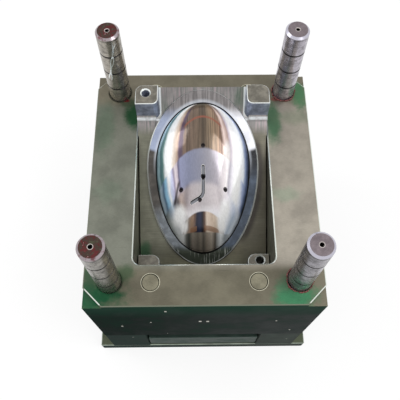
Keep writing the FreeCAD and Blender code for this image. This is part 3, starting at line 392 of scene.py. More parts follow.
def makeInsertSteel(look):
    # milled sloping face, polished land round the core with a painted reflection, lugs whose bright
    # edges are painted highlights, and painted shade and a painted shadow on the floor
    material, shader, position = newMaterial("milledInsert", look["roughness"], look["metal"])
    across, along, _ = axes(position)
    side = sizeOf(across)
    lines, clouds = grainAt(position, (0.04, 0.9, 0.9), 30.0)
    rows, patches = grainAt(position, (0.35, 0.02, 0.02), 12.0)
    core = useGroup(eggGroup, position, coreEgg)
    land = useGroup(eggGroup, position, landEgg)
    floor = blendColours(fade(across, *look["toLeft"]), look["floor"], look["floorLeft"])
    # painted shade on the floor towards its front right corner
    dim = times(fade(across, 40, 96), fade(along, -100, -70))
    floor = timesGrey(floor, minus(1.0, times(dim, 0.44)))
    floor = blendColours(fade(along, *look["toFront"]), floor, look["floorFront"])
    floor = timesGrey(floor, fade(lines, 0.3, 0.7, 0.88, 1.1))
    # painted shadow: the drop next to the land throws a dark edge on the floor
    dropShadow = times(fade(land["Offset"], 13, 4), fade(across, 30, 60))
    dropShadow = times(dropShadow, band(along, 0, 62, 20))
    floor = blendColours(times(dropShadow, 0.85), floor, look["drop"])
    rear = blendColours(fade(rows, 0.46, 0.7), look["back"], look["streak"])
    rear = blendColours(fade(rows, 0.5, 0.3), rear, look["dark"])
    floor = blendColours(fade(along, *look["toBack"]), floor, rear)
    # a painted highlight: a near-white strip along the foot of the lugs
    foot = times(band(along, 100.5, 0.6, 1.6), fade(side, 62, 68))
    foot = times(foot, fade(patches, 0.3, 0.6, 0.35, 1.0))
    floor = blendColours(foot, floor, look["foot"])
    for centre, reach, strength in look["dyePatches"]:
        mask = patchAt(position, centre, reach, look["dyeDepth"], look["dyeRagged"], strength)
        floor = blendColours(mask, floor, look["dye"])

    # painted reflection on the polished land: its tone changes with its heading round the core
    left = fade(across, 14, -14)
    slant = plus(along, times(across, -0.35))
    middle = blendColours(left, look["landRight"], look["landDim"])
    lower = blendColours(left, look["landSteel"], look["landGrey"])
    rings = fade(patches, 0.4, 0.66, 0.72, 1.22)
    ring = timesGrey(blendColours(fade(slant, *look["toLower"]), middle, lower), rings)
    nose = blendColours(fade(rows, 0.56, 0.64), look["landNose"], look["noseStreak"])
    ring = blendColours(fade(along, *look["toNose"]), ring, nose)
    high = blendColours(left, look["landLight"], look["landBlue"])
    behind = timesGrey(look["landRear"], fade(rows, 0.4, 0.64, 0.8, 1.34))
    high = blendColours(fade(along, *look["toRear"]), high, behind)
    upper = minus(along, times(side, 0.3))
    ring = blendColours(fade(upper, *look["toUpper"]), ring, high)
    near = times(fade(core["Measure"], 1.08, 1.03), fade(along, 12, 60))
    ring = blendColours(times(near, 0.5), ring, look["landInner"])
    # a painted highlight along the land's outer edge
    ring = blendColours(fade(land["Offset"], -1.5, -0.8), ring, look["rim"])
    onLand = below(land["Measure"], 1.0)
    surface = blendColours(onLand, floor, ring)

    level = facing(position)
    surface = blendColours(above(level, 0.97), surface, timesGrey(look["lugTop"], rings))
    lug = times(fade(along, 70, 90), fade(side, 60, 64))
    face = timesGrey(look["lugSide"], fade(patches, 0.36, 0.64, 0.72, 1.3))
    upright = blendColours(lug, look["wall"], face)
    surface = blendColours(fade(level, 0.42, 0.3), surface, upright)
    surface = timesGrey(surface, fade(clouds, 0.34, 0.68, 0.84, 1.12))
    # slopes near 45 degrees are chamfers, painted near white as a painted highlight, apart from the
    # arch between the lugs and the front
    sloped = times(fade(level, 0.5, 0.56), fade(level, 0.84, 0.78))
    arch = times(fade(side, 67, 65), plus(fade(along, 60, 70), fade(along, -84, -90)))
    surface = blendColours(times(sloped, minus(1.0, arch)), surface, look["edge"])
    seam = times(fade(core["Offset"], 1.0, 1.6, 1.0, 0.0), fade(level, 0.1, 0.3))
    surface = blendColours(seam, surface, look["seam"])
    # painted shade: a dark spot over the tapped hole
    surface = blendColours(glint(position, *look["hole"]), surface, look["seam"])
    fill(shader, {"Base Color": surface, "Roughness": blendValues(
        onLand, look["roughness"], look["landRoughness"])})
    roughen(shader, lines, look["marks"])
    return material


mirrorLook = {
    # painted reflection, in bands across the core, from the back to the nose: share of its half
    # width, colour
    "back": [
        (-0.99, 60, 84, 90), (-0.94, 150, 178, 186), (-0.9, 78, 112, 116), (-0.85, 104, 140, 138),
        (-0.8, 244, 248, 250), (-0.67, 255, 254, 252), (-0.61, 226, 210, 196),
        (-0.54, 176, 152, 136), (-0.5, 92, 74, 92), (-0.44, 84, 70, 84), (-0.4, 106, 88, 76),
        (-0.02, 94, 80, 66), (0.14, 112, 96, 78), (0.3, 140, 116, 94), (0.4, 128, 100, 84),
        (0.46, 226, 204, 196), (0.53, 170, 146, 138), (0.58, 206, 196, 208), (0.63, 255, 250, 250),
        (0.7, 255, 255, 255), (0.86, 246, 250, 255), (0.91, 150, 166, 200), (0.95, 86, 98, 128),
        (0.99, 44, 50, 58)],
    "middle": [
        (-0.99, 74, 88, 92), (-0.95, 176, 196, 210), (-0.88, 84, 110, 134), (-0.83, 150, 196, 226),
        (-0.79, 160, 200, 228), (-0.75, 255, 255, 255), (-0.71, 214, 222, 248),
        (-0.66, 196, 196, 226), (-0.63, 150, 140, 160), (-0.59, 220, 208, 214),
        (-0.55, 198, 186, 196), (-0.52, 96, 90, 118), (-0.48, 138, 142, 170), (-0.3, 122, 126, 148),
        (-0.06, 130, 131, 146), (0.1, 144, 142, 151), (0.3, 164, 158, 166), (0.44, 222, 214, 216),
        (0.51, 250, 244, 244), (0.56, 182, 178, 188), (0.62, 236, 232, 240), (0.68, 255, 255, 255),
        (0.78, 255, 255, 255), (0.83, 206, 216, 240), (0.89, 160, 174, 210), (0.95, 78, 92, 120),
        (0.99, 36, 42, 48)],
    "lower": [
        (-0.99, 70, 76, 76), (-0.93, 96, 108, 112), (-0.84, 142, 160, 176), (-0.76, 198, 214, 230),
        (-0.68, 132, 130, 136), (-0.6, 104, 96, 96), (-0.52, 178, 160, 152), (-0.4, 160, 150, 152),
        (-0.24, 176, 168, 170), (0.0, 176, 170, 172), (0.22, 196, 188, 190), (0.42, 214, 206, 208),
        (0.54, 226, 220, 226), (0.64, 246, 246, 252), (0.78, 206, 216, 236), (0.88, 146, 160, 188),
        (0.95, 104, 118, 142), (0.99, 50, 56, 62)],
    "flank": [
        (-0.98, 130, 138, 134), (-0.88, 196, 200, 200), (-0.76, 206, 208, 210),
        (-0.64, 255, 255, 255), (-0.5, 216, 212, 214), (0.4, 236, 236, 240), (0.54, 255, 255, 255),
        (0.68, 236, 240, 248), (0.8, 176, 188, 204), (0.9, 206, 214, 224), (0.98, 110, 118, 126)],
    # painted reflection, in bands across the neck and the nose: millimetres from the middle, colour
    "neck": [
        (-30, 250, 250, 250), (-27, 120, 108, 100), (-24, 206, 200, 196), (-21, 150, 134, 122),
        (-17, 150, 124, 104), (-13, 110, 88, 76), (-10, 24, 26, 42), (-5, 32, 38, 62),
        (-1, 24, 22, 30), (2, 92, 70, 58), (5, 196, 180, 164), (12, 186, 168, 150),
        (17, 206, 188, 170), (22, 226, 216, 206), (25, 110, 102, 100), (27, 90, 86, 88),
        (30, 255, 255, 255)],
    "nose": [
        (-46, 160, 166, 164), (-38, 196, 200, 198), (-32, 206, 208, 206), (-27, 104, 104, 98),
        (-23, 64, 66, 62), (-17, 128, 120, 110), (-9, 96, 90, 82), (-4, 118, 110, 100),
        (0, 80, 76, 70), (6, 134, 124, 112), (13, 162, 152, 140), (19, 84, 78, 70),
        (24, 190, 192, 192), (28, 232, 236, 238), (34, 150, 156, 160), (46, 180, 186, 192)],
    "rear": (88, 82, 66), "arc": (140, 78, 60), "foot": (128, 92, 68), "seam": (6, 6, 8),
    "groove": (22, 22, 26), "bed": (120, 122, 128), "lip": (226, 224, 222),
    "glint": (255, 255, 255), "daggerReflection": (58, 52, 58),
    "centre": (0.035, 0.024, 0.016, 1),  # linear
    "stripes": (0.5, 0.008, 0.0),
    # from where to where along the core one zone goes over into the next
    "toBack": (36.5, 40.5), "toLower": (-2, -12), "toFlank": (-34, -54), "toNeck": (-43.5, -46),
    "toNose": (-71, -73), "neckStart": 40.0, "neckWidth": 27.5, "neckFlare": 0.006,
    "rampWidth": 27.0,
    # painted highlights, bright spots: centre, reach, strength
    "glints": [((-38, -46), (13, 16), 1.0), ((-30, -62), (7, 10), 0.8), ((34, -40), (10, 16), 0.9),
               ((29, -58), (8, 17), 1.0), ((54, 10), (9, 62), 0.8), ((-54, 22), (5, 44), 0.7),
               ((38, 34), (6, 22), 0.6)],
    "metal": 0.24, "roughness": 0.16, "gloss": (0.12, 0.26),
}


def makeMirrorSteel(look):
    # mirror polish with a painted reflection: the soft coloured bands of what stands round the
    # mould are painted into its colour
    material, shader, position = newMaterial("mirrorCore", look["roughness"], look["metal"])
    across, along, _ = axes(position)
    egg = useGroup(eggGroup, position, coreEgg)
    wave = minus(noiseOf(position, 0.035, 2.0), 0.5)
    share = plus(egg["Share"], times(wave, 0.06))
    zones = {name: rampOf(share, -1, 1, look[name])
             for name in ("back", "middle", "lower", "flank")}
    # painted reflection: brown stripes over the back of the core and a dark line down its middle
    drawn = calculate("MULTIPLY", position, look["stripes"], "VectorMath")
    stripes = fade(noiseOf(drawn, 1.0, 4.0, 0.6), 0.38, 0.62, 0.62, 1.34)
    back = timesGrey(zones["back"], blendValues(band(share, -0.01, 0.4, 0.05), 1.0, stripes))
    back = blendColours(times(band(across, 0, 1.2, 4.5), 0.55), back, look["centre"])
    # painted reflection: a reddish arch over the striped part, and a dark olive strip behind it
    square = times(across, across)
    sag = plus(along, times(square, 0.018))
    arch = times(band(sag, 87, 0.9, 2.0), band(across, 0, 24, 8))
    back = blendColours(times(arch, 0.75), back, look["arc"])
    rear = times(fade(sag, 106, 116), band(share, 0, 0.5, 0.2))
    back = blendColours(times(rear, 0.7), back, look["rear"])

    edge = plus(plus(along, times(square, 0.009)), times(wave, 10.0))
    # the painted reflection zones blend into one another along the core
    surface = blendColours(fade(edge, *look["toBack"]), zones["middle"], back)
    surface = blendColours(fade(edge, *look["toLower"]), surface, zones["lower"])
    flank = plus(along, times(wave, 8.0))
    surface = blendColours(fade(flank, *look["toFlank"]), surface, zones["flank"])
    # painted reflection on the neck, which begins where its crest rises out of the dome and widens
    # forwards
    run = larger(times(plus(along, look["neckStart"]), -1.0), 0.0)
    width = plus(look["neckWidth"], times(times(run, run), look["neckFlare"]))
    sides = over(times(across, look["rampWidth"]), width)
    crown = plus(along, times(square, 0.012))
    onNeck = times(fade(crown, *look["toNeck"]), band(sides, 0, 26, 3))
    surface = blendColours(onNeck, surface, rampOf(sides, -30, 30, look["neck"]))
    # painted reflection: a brown band across the neck's foot
    foot = times(band(plus(along, times(square, 0.006)), -66.5, 2.6, 1.2), band(across, 2, 22, 2))
    foot = times(foot, fade(sizeOf(plus(across, 4.5)), 5.5, 6.5))
    surface = blendColours(times(foot, 0.7), surface, look["foot"])
    bow = minus(along, times(square, 0.002))
    onNose = times(fade(bow, *look["toNose"]), band(across, 0, 46, 6))
    surface = blendColours(onNose, surface, rampOf(across, -48, 48, look["nose"]))

    # painted highlights
    for spot in look["glints"]:
        surface = blendColours(glint(position, *spot), surface, look["glint"])
    # painted reflection: a dark pointed band on the left flank
    lean = minus(across, times(plus(along, 16.0), 0.28))
    daggerReflection = times(band(lean, -41.0, 0.7, 2.4), band(along, -18, 11, 6))
    surface = blendColours(times(daggerReflection, 0.85), surface, look["daggerReflection"])
    smear, smudge = grainAt(position, (0.5, 0.12, 0.3), 22.0)
    surface = timesGrey(surface, fade(smear, 0.3, 0.7, 0.93, 1.06))
    # the milled runner: a painted highlight on its lip, painted shade on its wall and a grey bed,
    # then painted shade in the bores
    groove, bore = [addNode(position.id_data, "Attribute", attribute_name=name)["Fac"]
                    for name in ("groove", "bore")]
    surface = paint(surface, (fade(groove, 0.3, 0.45), look["lip"]),
                    (fade(groove, 0.5, 0.62), look["groove"]),
                    (fade(groove, 0.8, 1.0), look["bed"]), (fade(bore, 0.3, 0.6), look["seam"]),
                    (fade(egg["Offset"], -1.1, -0.5), look["seam"]))
    fill(shader, {"Base Color": surface, "Roughness": fade(smudge, 0.35, 0.75, *look["gloss"])})
    return material


pinLook = {
    "left": (164, 158, 148), "right": (176, 171, 180), "dark": (84, 80, 78),
    "rim": (188, 186, 198), "leftRim": (160, 150, 154), "end": (122, 112, 116),
    "leftEnd": (70, 56, 50), "rust": (92, 36, 38), "moss": (78, 80, 62),
    "fleckAndHoleHighlight": (206, 198, 194), "hole": (10, 9, 9), "line": (40, 38, 42), "groove": (30, 28, 28),
    "strand": (226, 232, 232), "pitch": 39.0, "firstGroove": 20.0, "holeRadius": 3.1,
    "frontShade": 0.42, "gloss": (0.2, 0.38),
    # the dried strand's two threads: start from the pin's middle, lean, swing
    "threads": [(12.0, 0.2, 1.6), (11.0, 0.215, -1.0)],
    "roughness": 0.3, "metal": 0.8, "marks": (0.00008, 0.5),
}


def makeLeaderSteel(look):
    # ground shank with turning marks, bright rounded rim, and grease on the left pins' ends;
    # painted shade in the oil grooves and in the end holes, with a painted highlight round each
    # hole
    material, shader, position = newMaterial("leaderSteel", look["roughness"], look["metal"])
    across, along, up = axes(position)
    depth = minus(mould["leaderRise"], up)
    radius = cornerDistance(across, along, mould["leaderX"], mould["leaderY"])
    lines, clouds = grainAt(position, (0.05, 0.05, 0.7), 9.0)
    scuffs, spots = grainAt(position, (0.3, 0.3, 0.08), 4.0)
    left = below(across, 0.0)
    surface = blendColours(left, look["right"], look["left"])
    surface = blendColours(fade(clouds, 0.44, 0.72, 0.0, 0.6), surface, look["dark"])
    front = fade(along, 0, -1)
    shade = times(fade(lines, 0.3, 0.7, 0.7, 1.2), fade(scuffs, 0.3, 0.7, 0.88, 1.1))
    surface = timesGrey(surface, minus(shade, times(front, look["frontShade"])))
    # painted shade in the oil grooves
    ring = calculate("PINGPONG", calculate("MODULO", depth, look["pitch"]), look["pitch"] / 2)
    ring = times(fade(ring, 1.3, 2.0, 1.0, 0.0), above(depth, look["firstGroove"]))
    surface = blendColours(ring, surface, look["groove"])
    under = times(band(depth, 5.6, 0.7, 1.6), blendValues(front, 0.35, 0.85))
    surface = blendColours(under, surface, look["line"])

    level = facing(position)
    rounded = times(fade(level, 0.1, 0.3), fade(depth, 6.5, 5.5))
    surface = blendColours(rounded, surface, blendColours(left, look["rim"], look["leftRim"]))
    dirty = paint(look["leftEnd"], (fade(spots, 0.5, 0.64), look["rust"]),
                  (fade(spots, 0.42, 0.36), look["moss"]), (fade(spots, 0.66, 0.7), look["fleckAndHoleHighlight"]))
    end = blendColours(left, timesGrey(look["end"], fade(spots, 0.3, 0.7, 0.86, 1.14)), dirty)
    surface = blendColours(times(rounded, fade(level, 0.93, 0.97)), surface, end)
    stain = times(times(left, fade(depth, 7, 1)), fade(clouds, 0.5, 0.62))
    surface = blendColours(times(stain, 0.8), surface, look["rust"])
    # the end hole: a painted highlight round its rim and painted shade inside
    hole = look["holeRadius"]
    surface = paint(surface, (band(radius, hole, 0.5, 0.4), look["fleckAndHoleHighlight"]),
                    (fade(radius, hole, hole - 0.5), look["hole"]))
    # a pale dried strand runs down the front of the back left pin
    wobble = calculate("SINE", times(depth, 0.16))
    onPin = times(below(along, mould["leaderY"]), above(along, 100.0))
    for start, lean, swing in look["threads"]:
        drift = minus(start - mould["leaderX"], times(depth, lean))
        path = plus(drift, times(wobble, swing))
        strand = times(times(band(minus(across, path), 0, 0.45, 0.5), left), onPin)
        strand = times(strand, band(depth, 52, 34, 10))
        surface = blendColours(strand, surface, look["strand"])
    fill(shader, {"Base Color": surface, "Roughness": fade(clouds, 0.35, 0.7, *look["gloss"])})
    roughen(shader, lines, look["marks"])
    return material


plainLook = {"stretch": (0.3, 1.6, 0.8), "clouds": 24.0, "darker": 0.78, "lighter": 1.12,
             "marks": (0.00005, 0.4),
             # finishes: colour, roughness, metallic and the refraction of what covers the steel
             "groundPin": ((134, 130, 112), 0.32, 1.0, 1.5),
             "ejectorSteel": ((52, 66, 60), 0.45, 0.0, 1.1),
             "ejectorPin": ((58, 54, 56), 0.3, 1.0, 1.5),
             "springSteel": ((64, 72, 68), 0.4, 1.0, 1.5),
             "blackScrew": ((46, 46, 48), 0.38, 1.0, 1.5)}


def makePlainSteel(look, name):
    # plain worked steel: uneven tone and fine marks
    tone, roughness, metallic, film = look[name]
    material, shader, position = newMaterial(name, roughness, metallic)
    lines, clouds = grainAt(position, look["stretch"], look["clouds"])
    shade = times(fade(clouds, 0.34, 0.68, look["darker"], look["lighter"]),
                  fade(lines, 0.3, 0.7, 0.93, 1.07))
    fill(shader, {"Base Color": timesGrey(tone, shade), "IOR": film, "Roughness": fade(
        clouds, 0.35, 0.7, roughness - 0.06, roughness + 0.12)})
    roughen(shader, lines, look["marks"])
    return material


baseLook = {"flangeTop": (84, 90, 74), "side": (38, 50, 46), "edge": (150, 160, 148),
            "right": (62, 68, 64), "chip": (170, 172, 160), "metal": 0.4, "film": 1.02,
            "roughness": 0.45, "gloss": (0.36, 0.55), "toRight": (-180, 190),
            "specks": {"Spacing": 26.0, "Size": 0.06, "Share": 0.25}}


def makeBaseSteel(look):
    # clamp plate and rails: dark green paint worn through on the edges and the flange tops, and
    # painted shade that makes the sides darker towards the left
    material, shader, position = newMaterial("paintedBase", look["roughness"], 0.0)
    across, _, _ = axes(position)
    _, clouds = grainAt(position, (0.06, 0.5, 0.5), 34.0)
    # painted shade: the sides go from darker on the left to lighter on the right
    side = blendColours(fade(across, *look["toRight"]), look["side"], look["right"])
    flat, sloped = topsAndChamfers(facing(position))
    surface = blendColours(flat, side, look["flangeTop"])
    surface = blendColours(sloped, surface, look["edge"])
    surface = timesGrey(surface, fade(clouds, 0.32, 0.7, 0.7, 1.2))
    chips = useGroup(speckGroup, position, look["specks"])[0]
    fill(shader, {"Base Color": blendColours(chips, surface, look["chip"]), "IOR": look["film"],
                  "Metallic": times(larger(flat, sloped), look["metal"]),
                  "Roughness": fade(clouds, 0.35, 0.7, *look["gloss"])})
    return material


def makeGrease(name, tone):
    # lumpy grease, darker where it is thick
    material, shader, position = newMaterial(name, 0.35, 0.0)
    dark = [part * 0.45 for part in colour(*tone)[:3]] + [1.0]
    fill(shader, {"Base Color": blendColours(
        fade(noiseOf(position, 0.5, 3.0), 0.35, 0.65), tone, dark)})
    return material


def dress(material, *names):
    # the CAD node keeps its shape and takes this material
    for name in names:
        mesh = nodes[name].data
        mesh.materials.clear()
        mesh.materials.append(material)


corners = [f"{end}_{side}" for side in ("left", "right") for end in ("front", "back")]
mirrorSteel = makeMirrorSteel(mirrorLook)
groundPin, ejectorSteel, ejectorPin, springSteel, blackScrew = [
    makePlainSteel(plainLook, name)
    for name in ("groundPin", "ejectorSteel", "ejectorPin", "springSteel", "blackScrew")]
dress(makePlateSteel(plateLook), "core_plate")
dress(makeInsertSteel(insertLook), "insert_block")
dress(makeLeaderSteel(pinLook), *["leader_pin_" + corner for corner in corners])
dress(groundPin, "stop_buttons", *["return_pin_" + corner for corner in corners])
dress(ejectorPin, "ejector_pin_left", "ejector_pin_right", "ejector_pin_back",
      "ejector_pin_front", "sprue_puller_pin")
dress(ejectorSteel, "ejector_plate", "ejector_retainer_plate")
dress(makeBaseSteel(baseLook), "clamp_plate", "spacer_block_left", "spacer_block_right")
dress(blackScrew, "clamp_screws", "ejector_plate_screws", "insert_screws", "core_screws")
print("materials made")


def addObject(name, data):
    made = bpy.data.objects.new(name, data)
    bpy.context.scene.collection.objects.link(made)
    return made


def newPiece(name, points, faces, material, body):
    # points in millimetres from the parting face; the mesh is in metres in the frame
    placed = (np.asarray(points, float) + (0, 0, mould["parting"])) / perMetre
    mesh = bpy.data.meshes.new(name)
    mesh.from_pydata(placed.tolist(), [], [list(map(int, face)) for face in faces])
    mesh.polygons.foreach_set("use_smooth", np.ones(len(faces), bool))
    mesh.update()
    mesh.materials.append(material)
    piece = addObject(name, mesh)
    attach(piece, body)
    return piece


def gridFaces(rows, columns, wrap=False, start=0):
    # quads between neighbouring rows of a grid of points, closed round if wrapped
    row, column = np.meshgrid(np.arange(rows - 1), np.arange(columns if wrap else columns - 1),
                              indexing="ij")
    after = (column + 1) % columns
    quads = np.stack([row * columns + column, row * columns + after,
                      (row + 1) * columns + after, (row + 1) * columns + column], -1)
    return quads.reshape(-1, 4) + start


coreForm = {
    "centre": coreEgg["Centre"], "halfWidth": coreEgg["Half Width"], "back": coreEgg["Back"],
    "front": coreEgg["Front"],
    "floorDrop": 41.5, "slope": 27.9, "archStart": 85.0, "archEnd": 138.45, "archRise": 49.5,
    "landHeight": 9.0, "domeHeight": 43.0, "domePower": 2.6,
    "neckHeight": 32.0, "neckHalfWidth": 28.0, "neckFlare": 24.0, "neckStart": -40.0,
    "neckReach": 38.0, "neckFall": 0.4, "neckEnd": 8, "neckSquare": 4, "blend": 1.6,
    "edgeRound": 0.9, "edgeSteps": 6, "skirt": 12.0, "cells": 280,
    "runner": [(0, 13), (0, 0), (0, -13.5), (0, -21), (-2, -25), (-6, -28), (-18, -33)],
    "runnerRadius": 2.6,
    # bores: x, y, radius
    "bores": [(-34.6, -15, 3.1), (34.6, -15, 3.1), (0, 41.5, 3.1), (-5.5, -30, 3.1), (0, 0, 3.5)],
    "boreDepth": 24.0, "boreSteps": 48, "boreGap": 0.25, "collar": 0.9, "collarRise": 0.015,
    "lipWidth": 1.1,
}


def eggMeasure(form, across, along):
    # 0 at the egg's centre and 1 on its outline, two half ellipses of one width
    reach = np.where(along > form["centre"], form["back"], form["front"])
    return np.hypot(across / form["halfWidth"], (along - form["centre"]) / reach)


def landHeight(form, along):
    # a straight slope, then an arc tangent to it that ends at the back edge
    pitch = math.tan(math.radians(form["slope"]))
    straight = form["landHeight"] - form["floorDrop"] + pitch * along
    start = np.array([form["archStart"], form["landHeight"] - form["floorDrop"]
                      + pitch * form["archStart"]])
    chord = np.array([form["archEnd"], form["archRise"]]) - start
    normal = np.array([-pitch, 1.0]) / math.hypot(pitch, 1.0)
    radius = chord @ chord / (2 * chord @ normal)
    middle = start + radius * normal
    arch = middle[1] - np.sqrt(np.maximum(radius ** 2 - (along - middle[0]) ** 2, 0))
    return np.where(along > form["archStart"], arch, straight)


def crownHeight(form, across, along):
    # the dome falls with the egg measure; the neck is a flaring ridge; the higher one counts
    measure = eggMeasure(form, across, along)
    dome = form["domeHeight"] * (1 - measure ** form["domePower"])
    run = np.maximum(0, form["neckStart"] - along) / form["neckReach"]
    width = form["neckHalfWidth"] + form["neckFlare"] * run ** 2
    crest = 1 - measure ** form["neckEnd"] - np.abs(across / width) ** form["neckSquare"]
    neck = form["neckHeight"] * crest - form["neckFall"] * np.maximum(0, along)
    rise = (dome + neck + np.hypot(dome - neck, form["blend"])) / 2
    return landHeight(form, along) + rise


def routeDistance(route, across, along):
    # distance from each place to the nearest run of the route
    nearest = np.full(across.shape, 1e9)
    for (ax, ay), (bx, by) in zip(route, route[1:]):
        run = np.array([bx - ax, by - ay], float)
        share = np.clip(((across - ax) * run[0] + (along - ay) * run[1]) / (run @ run), 0, 1)
        nearest = np.minimum(nearest, np.hypot(across - ax - share * run[0],
                                               along - ay - share * run[1]))
    return nearest


def makeCore(form):
    # a square grid bent into the egg, so its cells stay even; the runner is milled into it
    cells = form["cells"]
    inner = 1 - form["edgeRound"] / form["halfWidth"]
    side = np.linspace(-1, 1, cells + 1)
    u, v = np.meshgrid(side, side, indexing="ij")
    across = form["halfWidth"] * inner * u * np.sqrt(1 - v ** 2 / 2)
    lengthwise = inner * v * np.sqrt(1 - u ** 2 / 2)
    along = form["centre"] + lengthwise * np.where(v > 0, form["back"], form["front"])
    height = crownHeight(form, across, along)
    distance = routeDistance(form["runner"], across, along)
    height = height - np.sqrt(np.maximum(form["runnerRadius"] ** 2 - distance ** 2, 0))
    points = np.stack([across, along, height], -1).reshape(-1, 3)
    faces = gridFaces(cells + 1, cells + 1)
    middle = points[faces].mean(1)
    keep = np.ones(len(faces), bool)
    for x, y, radius in form["bores"]:
        keep &= np.hypot(middle[:, 0] - x, middle[:, 1] - y) > radius + form["boreGap"]
    faces = faces[keep]

    # the rim: a quarter round at the outline, then a skirt down into the seam
    index = np.arange((cells + 1) ** 2).reshape(cells + 1, cells + 1)
    loop = np.concatenate([index[:-1, 0], index[-1, :-1], index[:0:-1, -1], index[0, :0:-1]])
    ring = points[loop]
    rings = []
    for turn in np.linspace(0, math.pi / 2, form["edgeSteps"]):
        swell = (inner + (1 - inner) * math.sin(turn)) / inner
        x = ring[:, 0] * swell
        y = form["centre"] + (ring[:, 1] - form["centre"]) * swell
        drop = form["edgeRound"] * (1 - math.cos(turn))
        rings.append(np.stack([x, y, crownHeight(form, x, y) - drop], -1))
    rings.append(rings[-1] - (0, 0, form["skirt"]))
    start = len(points)
    count = len(loop)
    points = np.concatenate([points] + rings)
    rim = gridFaces(len(rings), count, True, start)[:, ::-1]
    joint = np.stack([loop, np.roll(loop, -1), start + np.roll(np.arange(count), -1),
                      start + np.arange(count)], -1)[:, ::-1]
    faces = np.concatenate([faces, joint, rim])

    # bores: a narrow collar on the surface, then the wall down
    turn = np.linspace(0, 2 * math.pi, form["boreSteps"], endpoint=False)
    for x, y, radius in form["bores"]:
        start = len(points)
        walls = []
        for reach, drop in ((radius + form["collar"], -form["collarRise"]), (radius, 0.0),
                            (radius, form["boreDepth"])):
            wx, wy = x + reach * np.cos(turn), y + reach * np.sin(turn)
            cut = routeDistance(form["runner"], wx, wy)
            dip = np.sqrt(np.maximum(form["runnerRadius"] ** 2 - cut ** 2, 0))
            walls.append(np.stack([wx, wy, crownHeight(form, wx, wy) - dip - drop], -1))
        points = np.concatenate([points] + walls)
        faces = np.concatenate([faces, gridFaces(3, len(turn), True, start)[:, ::-1]])
    piece = newPiece("polishedCore", points, faces, mirrorSteel, "frame")
    # the groove and bore values: 0 on the free surface, half at the lip, 1 inside
    runner = routeDistance(form["runner"], points[:, 0], points[:, 1]) - form["runnerRadius"]
    bores = np.min([np.hypot(points[:, 0] - x, points[:, 1] - y) - radius
                    for x, y, radius in form["bores"]], 0)
    for name, gap in (("groove", runner), ("bore", bores)):
        value = np.clip(0.5 - gap / (2 * form["lipWidth"]), 0, 1)
        piece.data.attributes.new(name, "FLOAT", "POINT").data.foreach_set("value", value)
    return piece


polishedCore = makeCore(coreForm)
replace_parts(polishedCore, "core")
print("core made")


springForm = {"places": [(-78, -165), (78, -165), (-78, 165), (78, 165)], "low": 98.0,
              "high": 202.0, "outer": 22.0, "wide": 6.0, "thick": 4.0, "turns": 7, "steps": 44,
              "round": 0.8, "travel": 40.0}


def makeSprings(form):
    # flat wire swept along a helix; its section is a rounded rectangle, closed at both ends
    wide, thick, soft = form["wide"] / 2, form["thick"] / 2, form["round"]
    section = np.array([(sx * (wide - soft * a), sz * (thick - soft * b))
                        for sx, sz, order in ((1, 1, 1), (-1, 1, -1), (-1, -1, 1), (1, -1, -1))
                        for a, b in [(0, 1), (0.3, 0.3), (1, 0)][::order]])
    share = np.linspace(0, 1, form["turns"] * form["steps"] + 1)
    turn = 2 * math.pi * form["turns"] * share
    height = form["low"] + thick + (form["high"] - form["low"] - 2 * thick) * share
    radius = form["outer"] - wide + section[None, :, 0]
    size = len(section)
    points, faces = [], []
    for x, y in form["places"]:
        start = sum(map(len, points))
        coil = np.stack([x + radius * np.cos(turn)[:, None], y + radius * np.sin(turn)[:, None],
                         height[:, None] + section[None, :, 1] - mould["parting"]], -1)
        points.append(coil.reshape(-1, 3))
        faces += list(gridFaces(len(share), size, True, start)[:, ::-1])
        last = start + (len(share) - 1) * size
        faces += [np.arange(start, start + size), np.arange(last, last + size)[::-1]]
    piece = newPiece("returnSprings", np.concatenate(points), faces, springSteel, "frame")
    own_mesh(piece)
    return piece


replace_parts(makeSprings(springForm), "return_springs")
print("springs made")


# the grease's thickness wavers by three sines: share, waves a turn, how far the phase moves it
greaseForm = {"radius": 18.2, "thick": 2.6, "turns": 160, "round": 12, "level": 0.62,
              "waves": [(0.2, 5, 1), (0.14, 13, 2), (0.12, 29, 0)], "thinnest": 0.12,
              "tone": (132, 70, 68), "bases": [("front", -1, 1.7), ("back", 1, 0.4)]}


def makeGreaseRing(form, name, y, phase, material):
    # a lumpy ring of squeezed-out grease: a torus whose thickness wavers round the pin
    turn = np.linspace(0, 2 * math.pi, form["turns"], endpoint=False)
    roll = np.linspace(0, 2 * math.pi, form["round"], endpoint=False)
    lump = form["level"] + sum(share * np.sin(waves * turn + shift * phase)
                               for share, waves, shift in form["waves"])
    thick = form["thick"] * np.maximum(lump, form["thinnest"])
    reach = form["radius"] + thick[None, :] * 0.55 * (1 + np.cos(roll)[:, None])
    points = np.stack([mould["leaderX"] + reach * np.cos(turn), y + reach * np.sin(turn),
                       thick[None, :] * (0.4 + np.sin(roll)[:, None])], -1).reshape(-1, 3)
    faces = gridFaces(form["round"] + 1, form["turns"], True) % len(points)
    return newPiece(name, points, faces, material, "frame")


redGrease = makeGrease("redGrease", greaseForm["tone"])
for end, towards, phase in greaseForm["bases"]:
    makeGreaseRing(greaseForm, f"grease_{end}_right", towards * mould["leaderY"], phase, redGrease)
print("grease made")


# lengths in metres and angles in degrees
cameraForm = {"lens": 48.02, "sensor": 36.0, "place": (-0.01259, -0.37216, 1.10587),
              "dip": 65.75, "yaw": 1.24, "roll": 0.65, "near": 0.01, "far": 50}


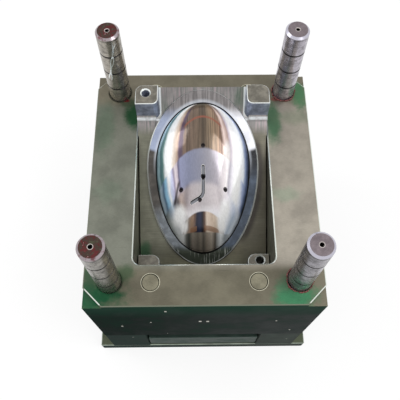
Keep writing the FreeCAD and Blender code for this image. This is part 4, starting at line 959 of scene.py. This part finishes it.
def makeCamera(form):
    # looks down by the dip, turned by the yaw and rolled about its own line of sight
    dip, yaw, roll = [math.radians(form[name]) for name in ("dip", "yaw", "roll")]
    forward = Vector((math.sin(yaw) * math.cos(dip), math.cos(yaw) * math.cos(dip), -math.sin(dip)))
    right = forward.cross(Vector((0, 0, 1))).normalized()
    up = right.cross(forward)
    turned = math.cos(roll) * right + math.sin(roll) * up
    upright = -math.sin(roll) * right + math.cos(roll) * up
    data = bpy.data.cameras.new("camera")
    data.lens, data.sensor_width = form["lens"], form["sensor"]
    data.clip_start, data.clip_end = form["near"], form["far"]
    camera = addObject("camera", data)
    camera.matrix_world = Matrix.Translation(form["place"]) @ Matrix(
        (turned, upright, -forward)).transposed().to_4x4()
    bpy.context.scene.camera = camera


makeCamera(cameraForm)


studio = {"world": 0.8, "floorReach": 6.0, "shadow": 0.2, "white": (1, 1, 1, 1), "roughness": 0.9,
          # lamps: place, aim, size, watts
          "lamps": [((0.9, -0.5, 1.9), (0, 0, 0.35), 0.9, 13.0),
                    ((-1.2, 0.2, 1.5), (0, 0, 0.35), 0.8, 8.0)]}


def seenDirectly(tree):
    # 1 for what the eye, a mirror or glass shows of the surroundings, 0 for their light
    path = addNode(tree, "LightPath")
    return larger(larger(path["Is Camera Ray"], path["Is Glossy Ray"]),
                  path["Is Transmission Ray"])


def makeStudio(form):
    # an even white surrounding, a white floor that keeps a soft shadow, and two soft lamps
    world = bpy.data.worlds.new("studio")
    world.use_nodes = True
    bpy.context.scene.world = world
    tree = world.node_tree
    fill(tree.nodes["Background"], {"Color": form["white"], "Strength": blendValues(
        seenDirectly(tree), form["world"], 1.0)})

    reach = form["floorReach"]
    mesh = bpy.data.meshes.new("floor")
    mesh.from_pydata([(-reach, -reach, 0), (reach, -reach, 0), (reach, reach, 0),
                      (-reach, reach, 0)], [], [(0, 1, 2, 3)])
    floor = addObject("floor", mesh)
    material = bpy.data.materials.new("paleFloor")
    material.use_nodes = True
    tree = material.node_tree
    paper = tree.nodes["Principled BSDF"]
    fill(paper, {"Base Color": form["white"], "Roughness": form["roughness"]})
    glow = addNode(tree, "Emission", {"Color": form["white"], "Strength": 1.0})[0]
    share = times(seenDirectly(tree), 1 - form["shadow"])
    mixed = addNode(tree, "MixShader", {0: share, 1: paper.outputs[0], 2: glow})[0]
    fill(tree.nodes["Material Output"], {"Surface": mixed})
    mesh.materials.append(material)

    for number, (place, aim, size, watts) in enumerate(form["lamps"]):
        data = bpy.data.lights.new(f"softbox{number}", "AREA")
        data.shape, data.size, data.energy = "SQUARE", size, watts
        lamp = addObject(f"softbox{number}", data)
        lamp.location = place
        lamp.rotation_euler = (Vector(aim) - Vector(place)).to_track_quat("-Z", "Y").to_euler()
    bpy.context.scene.view_settings.view_transform = "Standard"


makeStudio(studio)
print("camera, floor and lamps made")
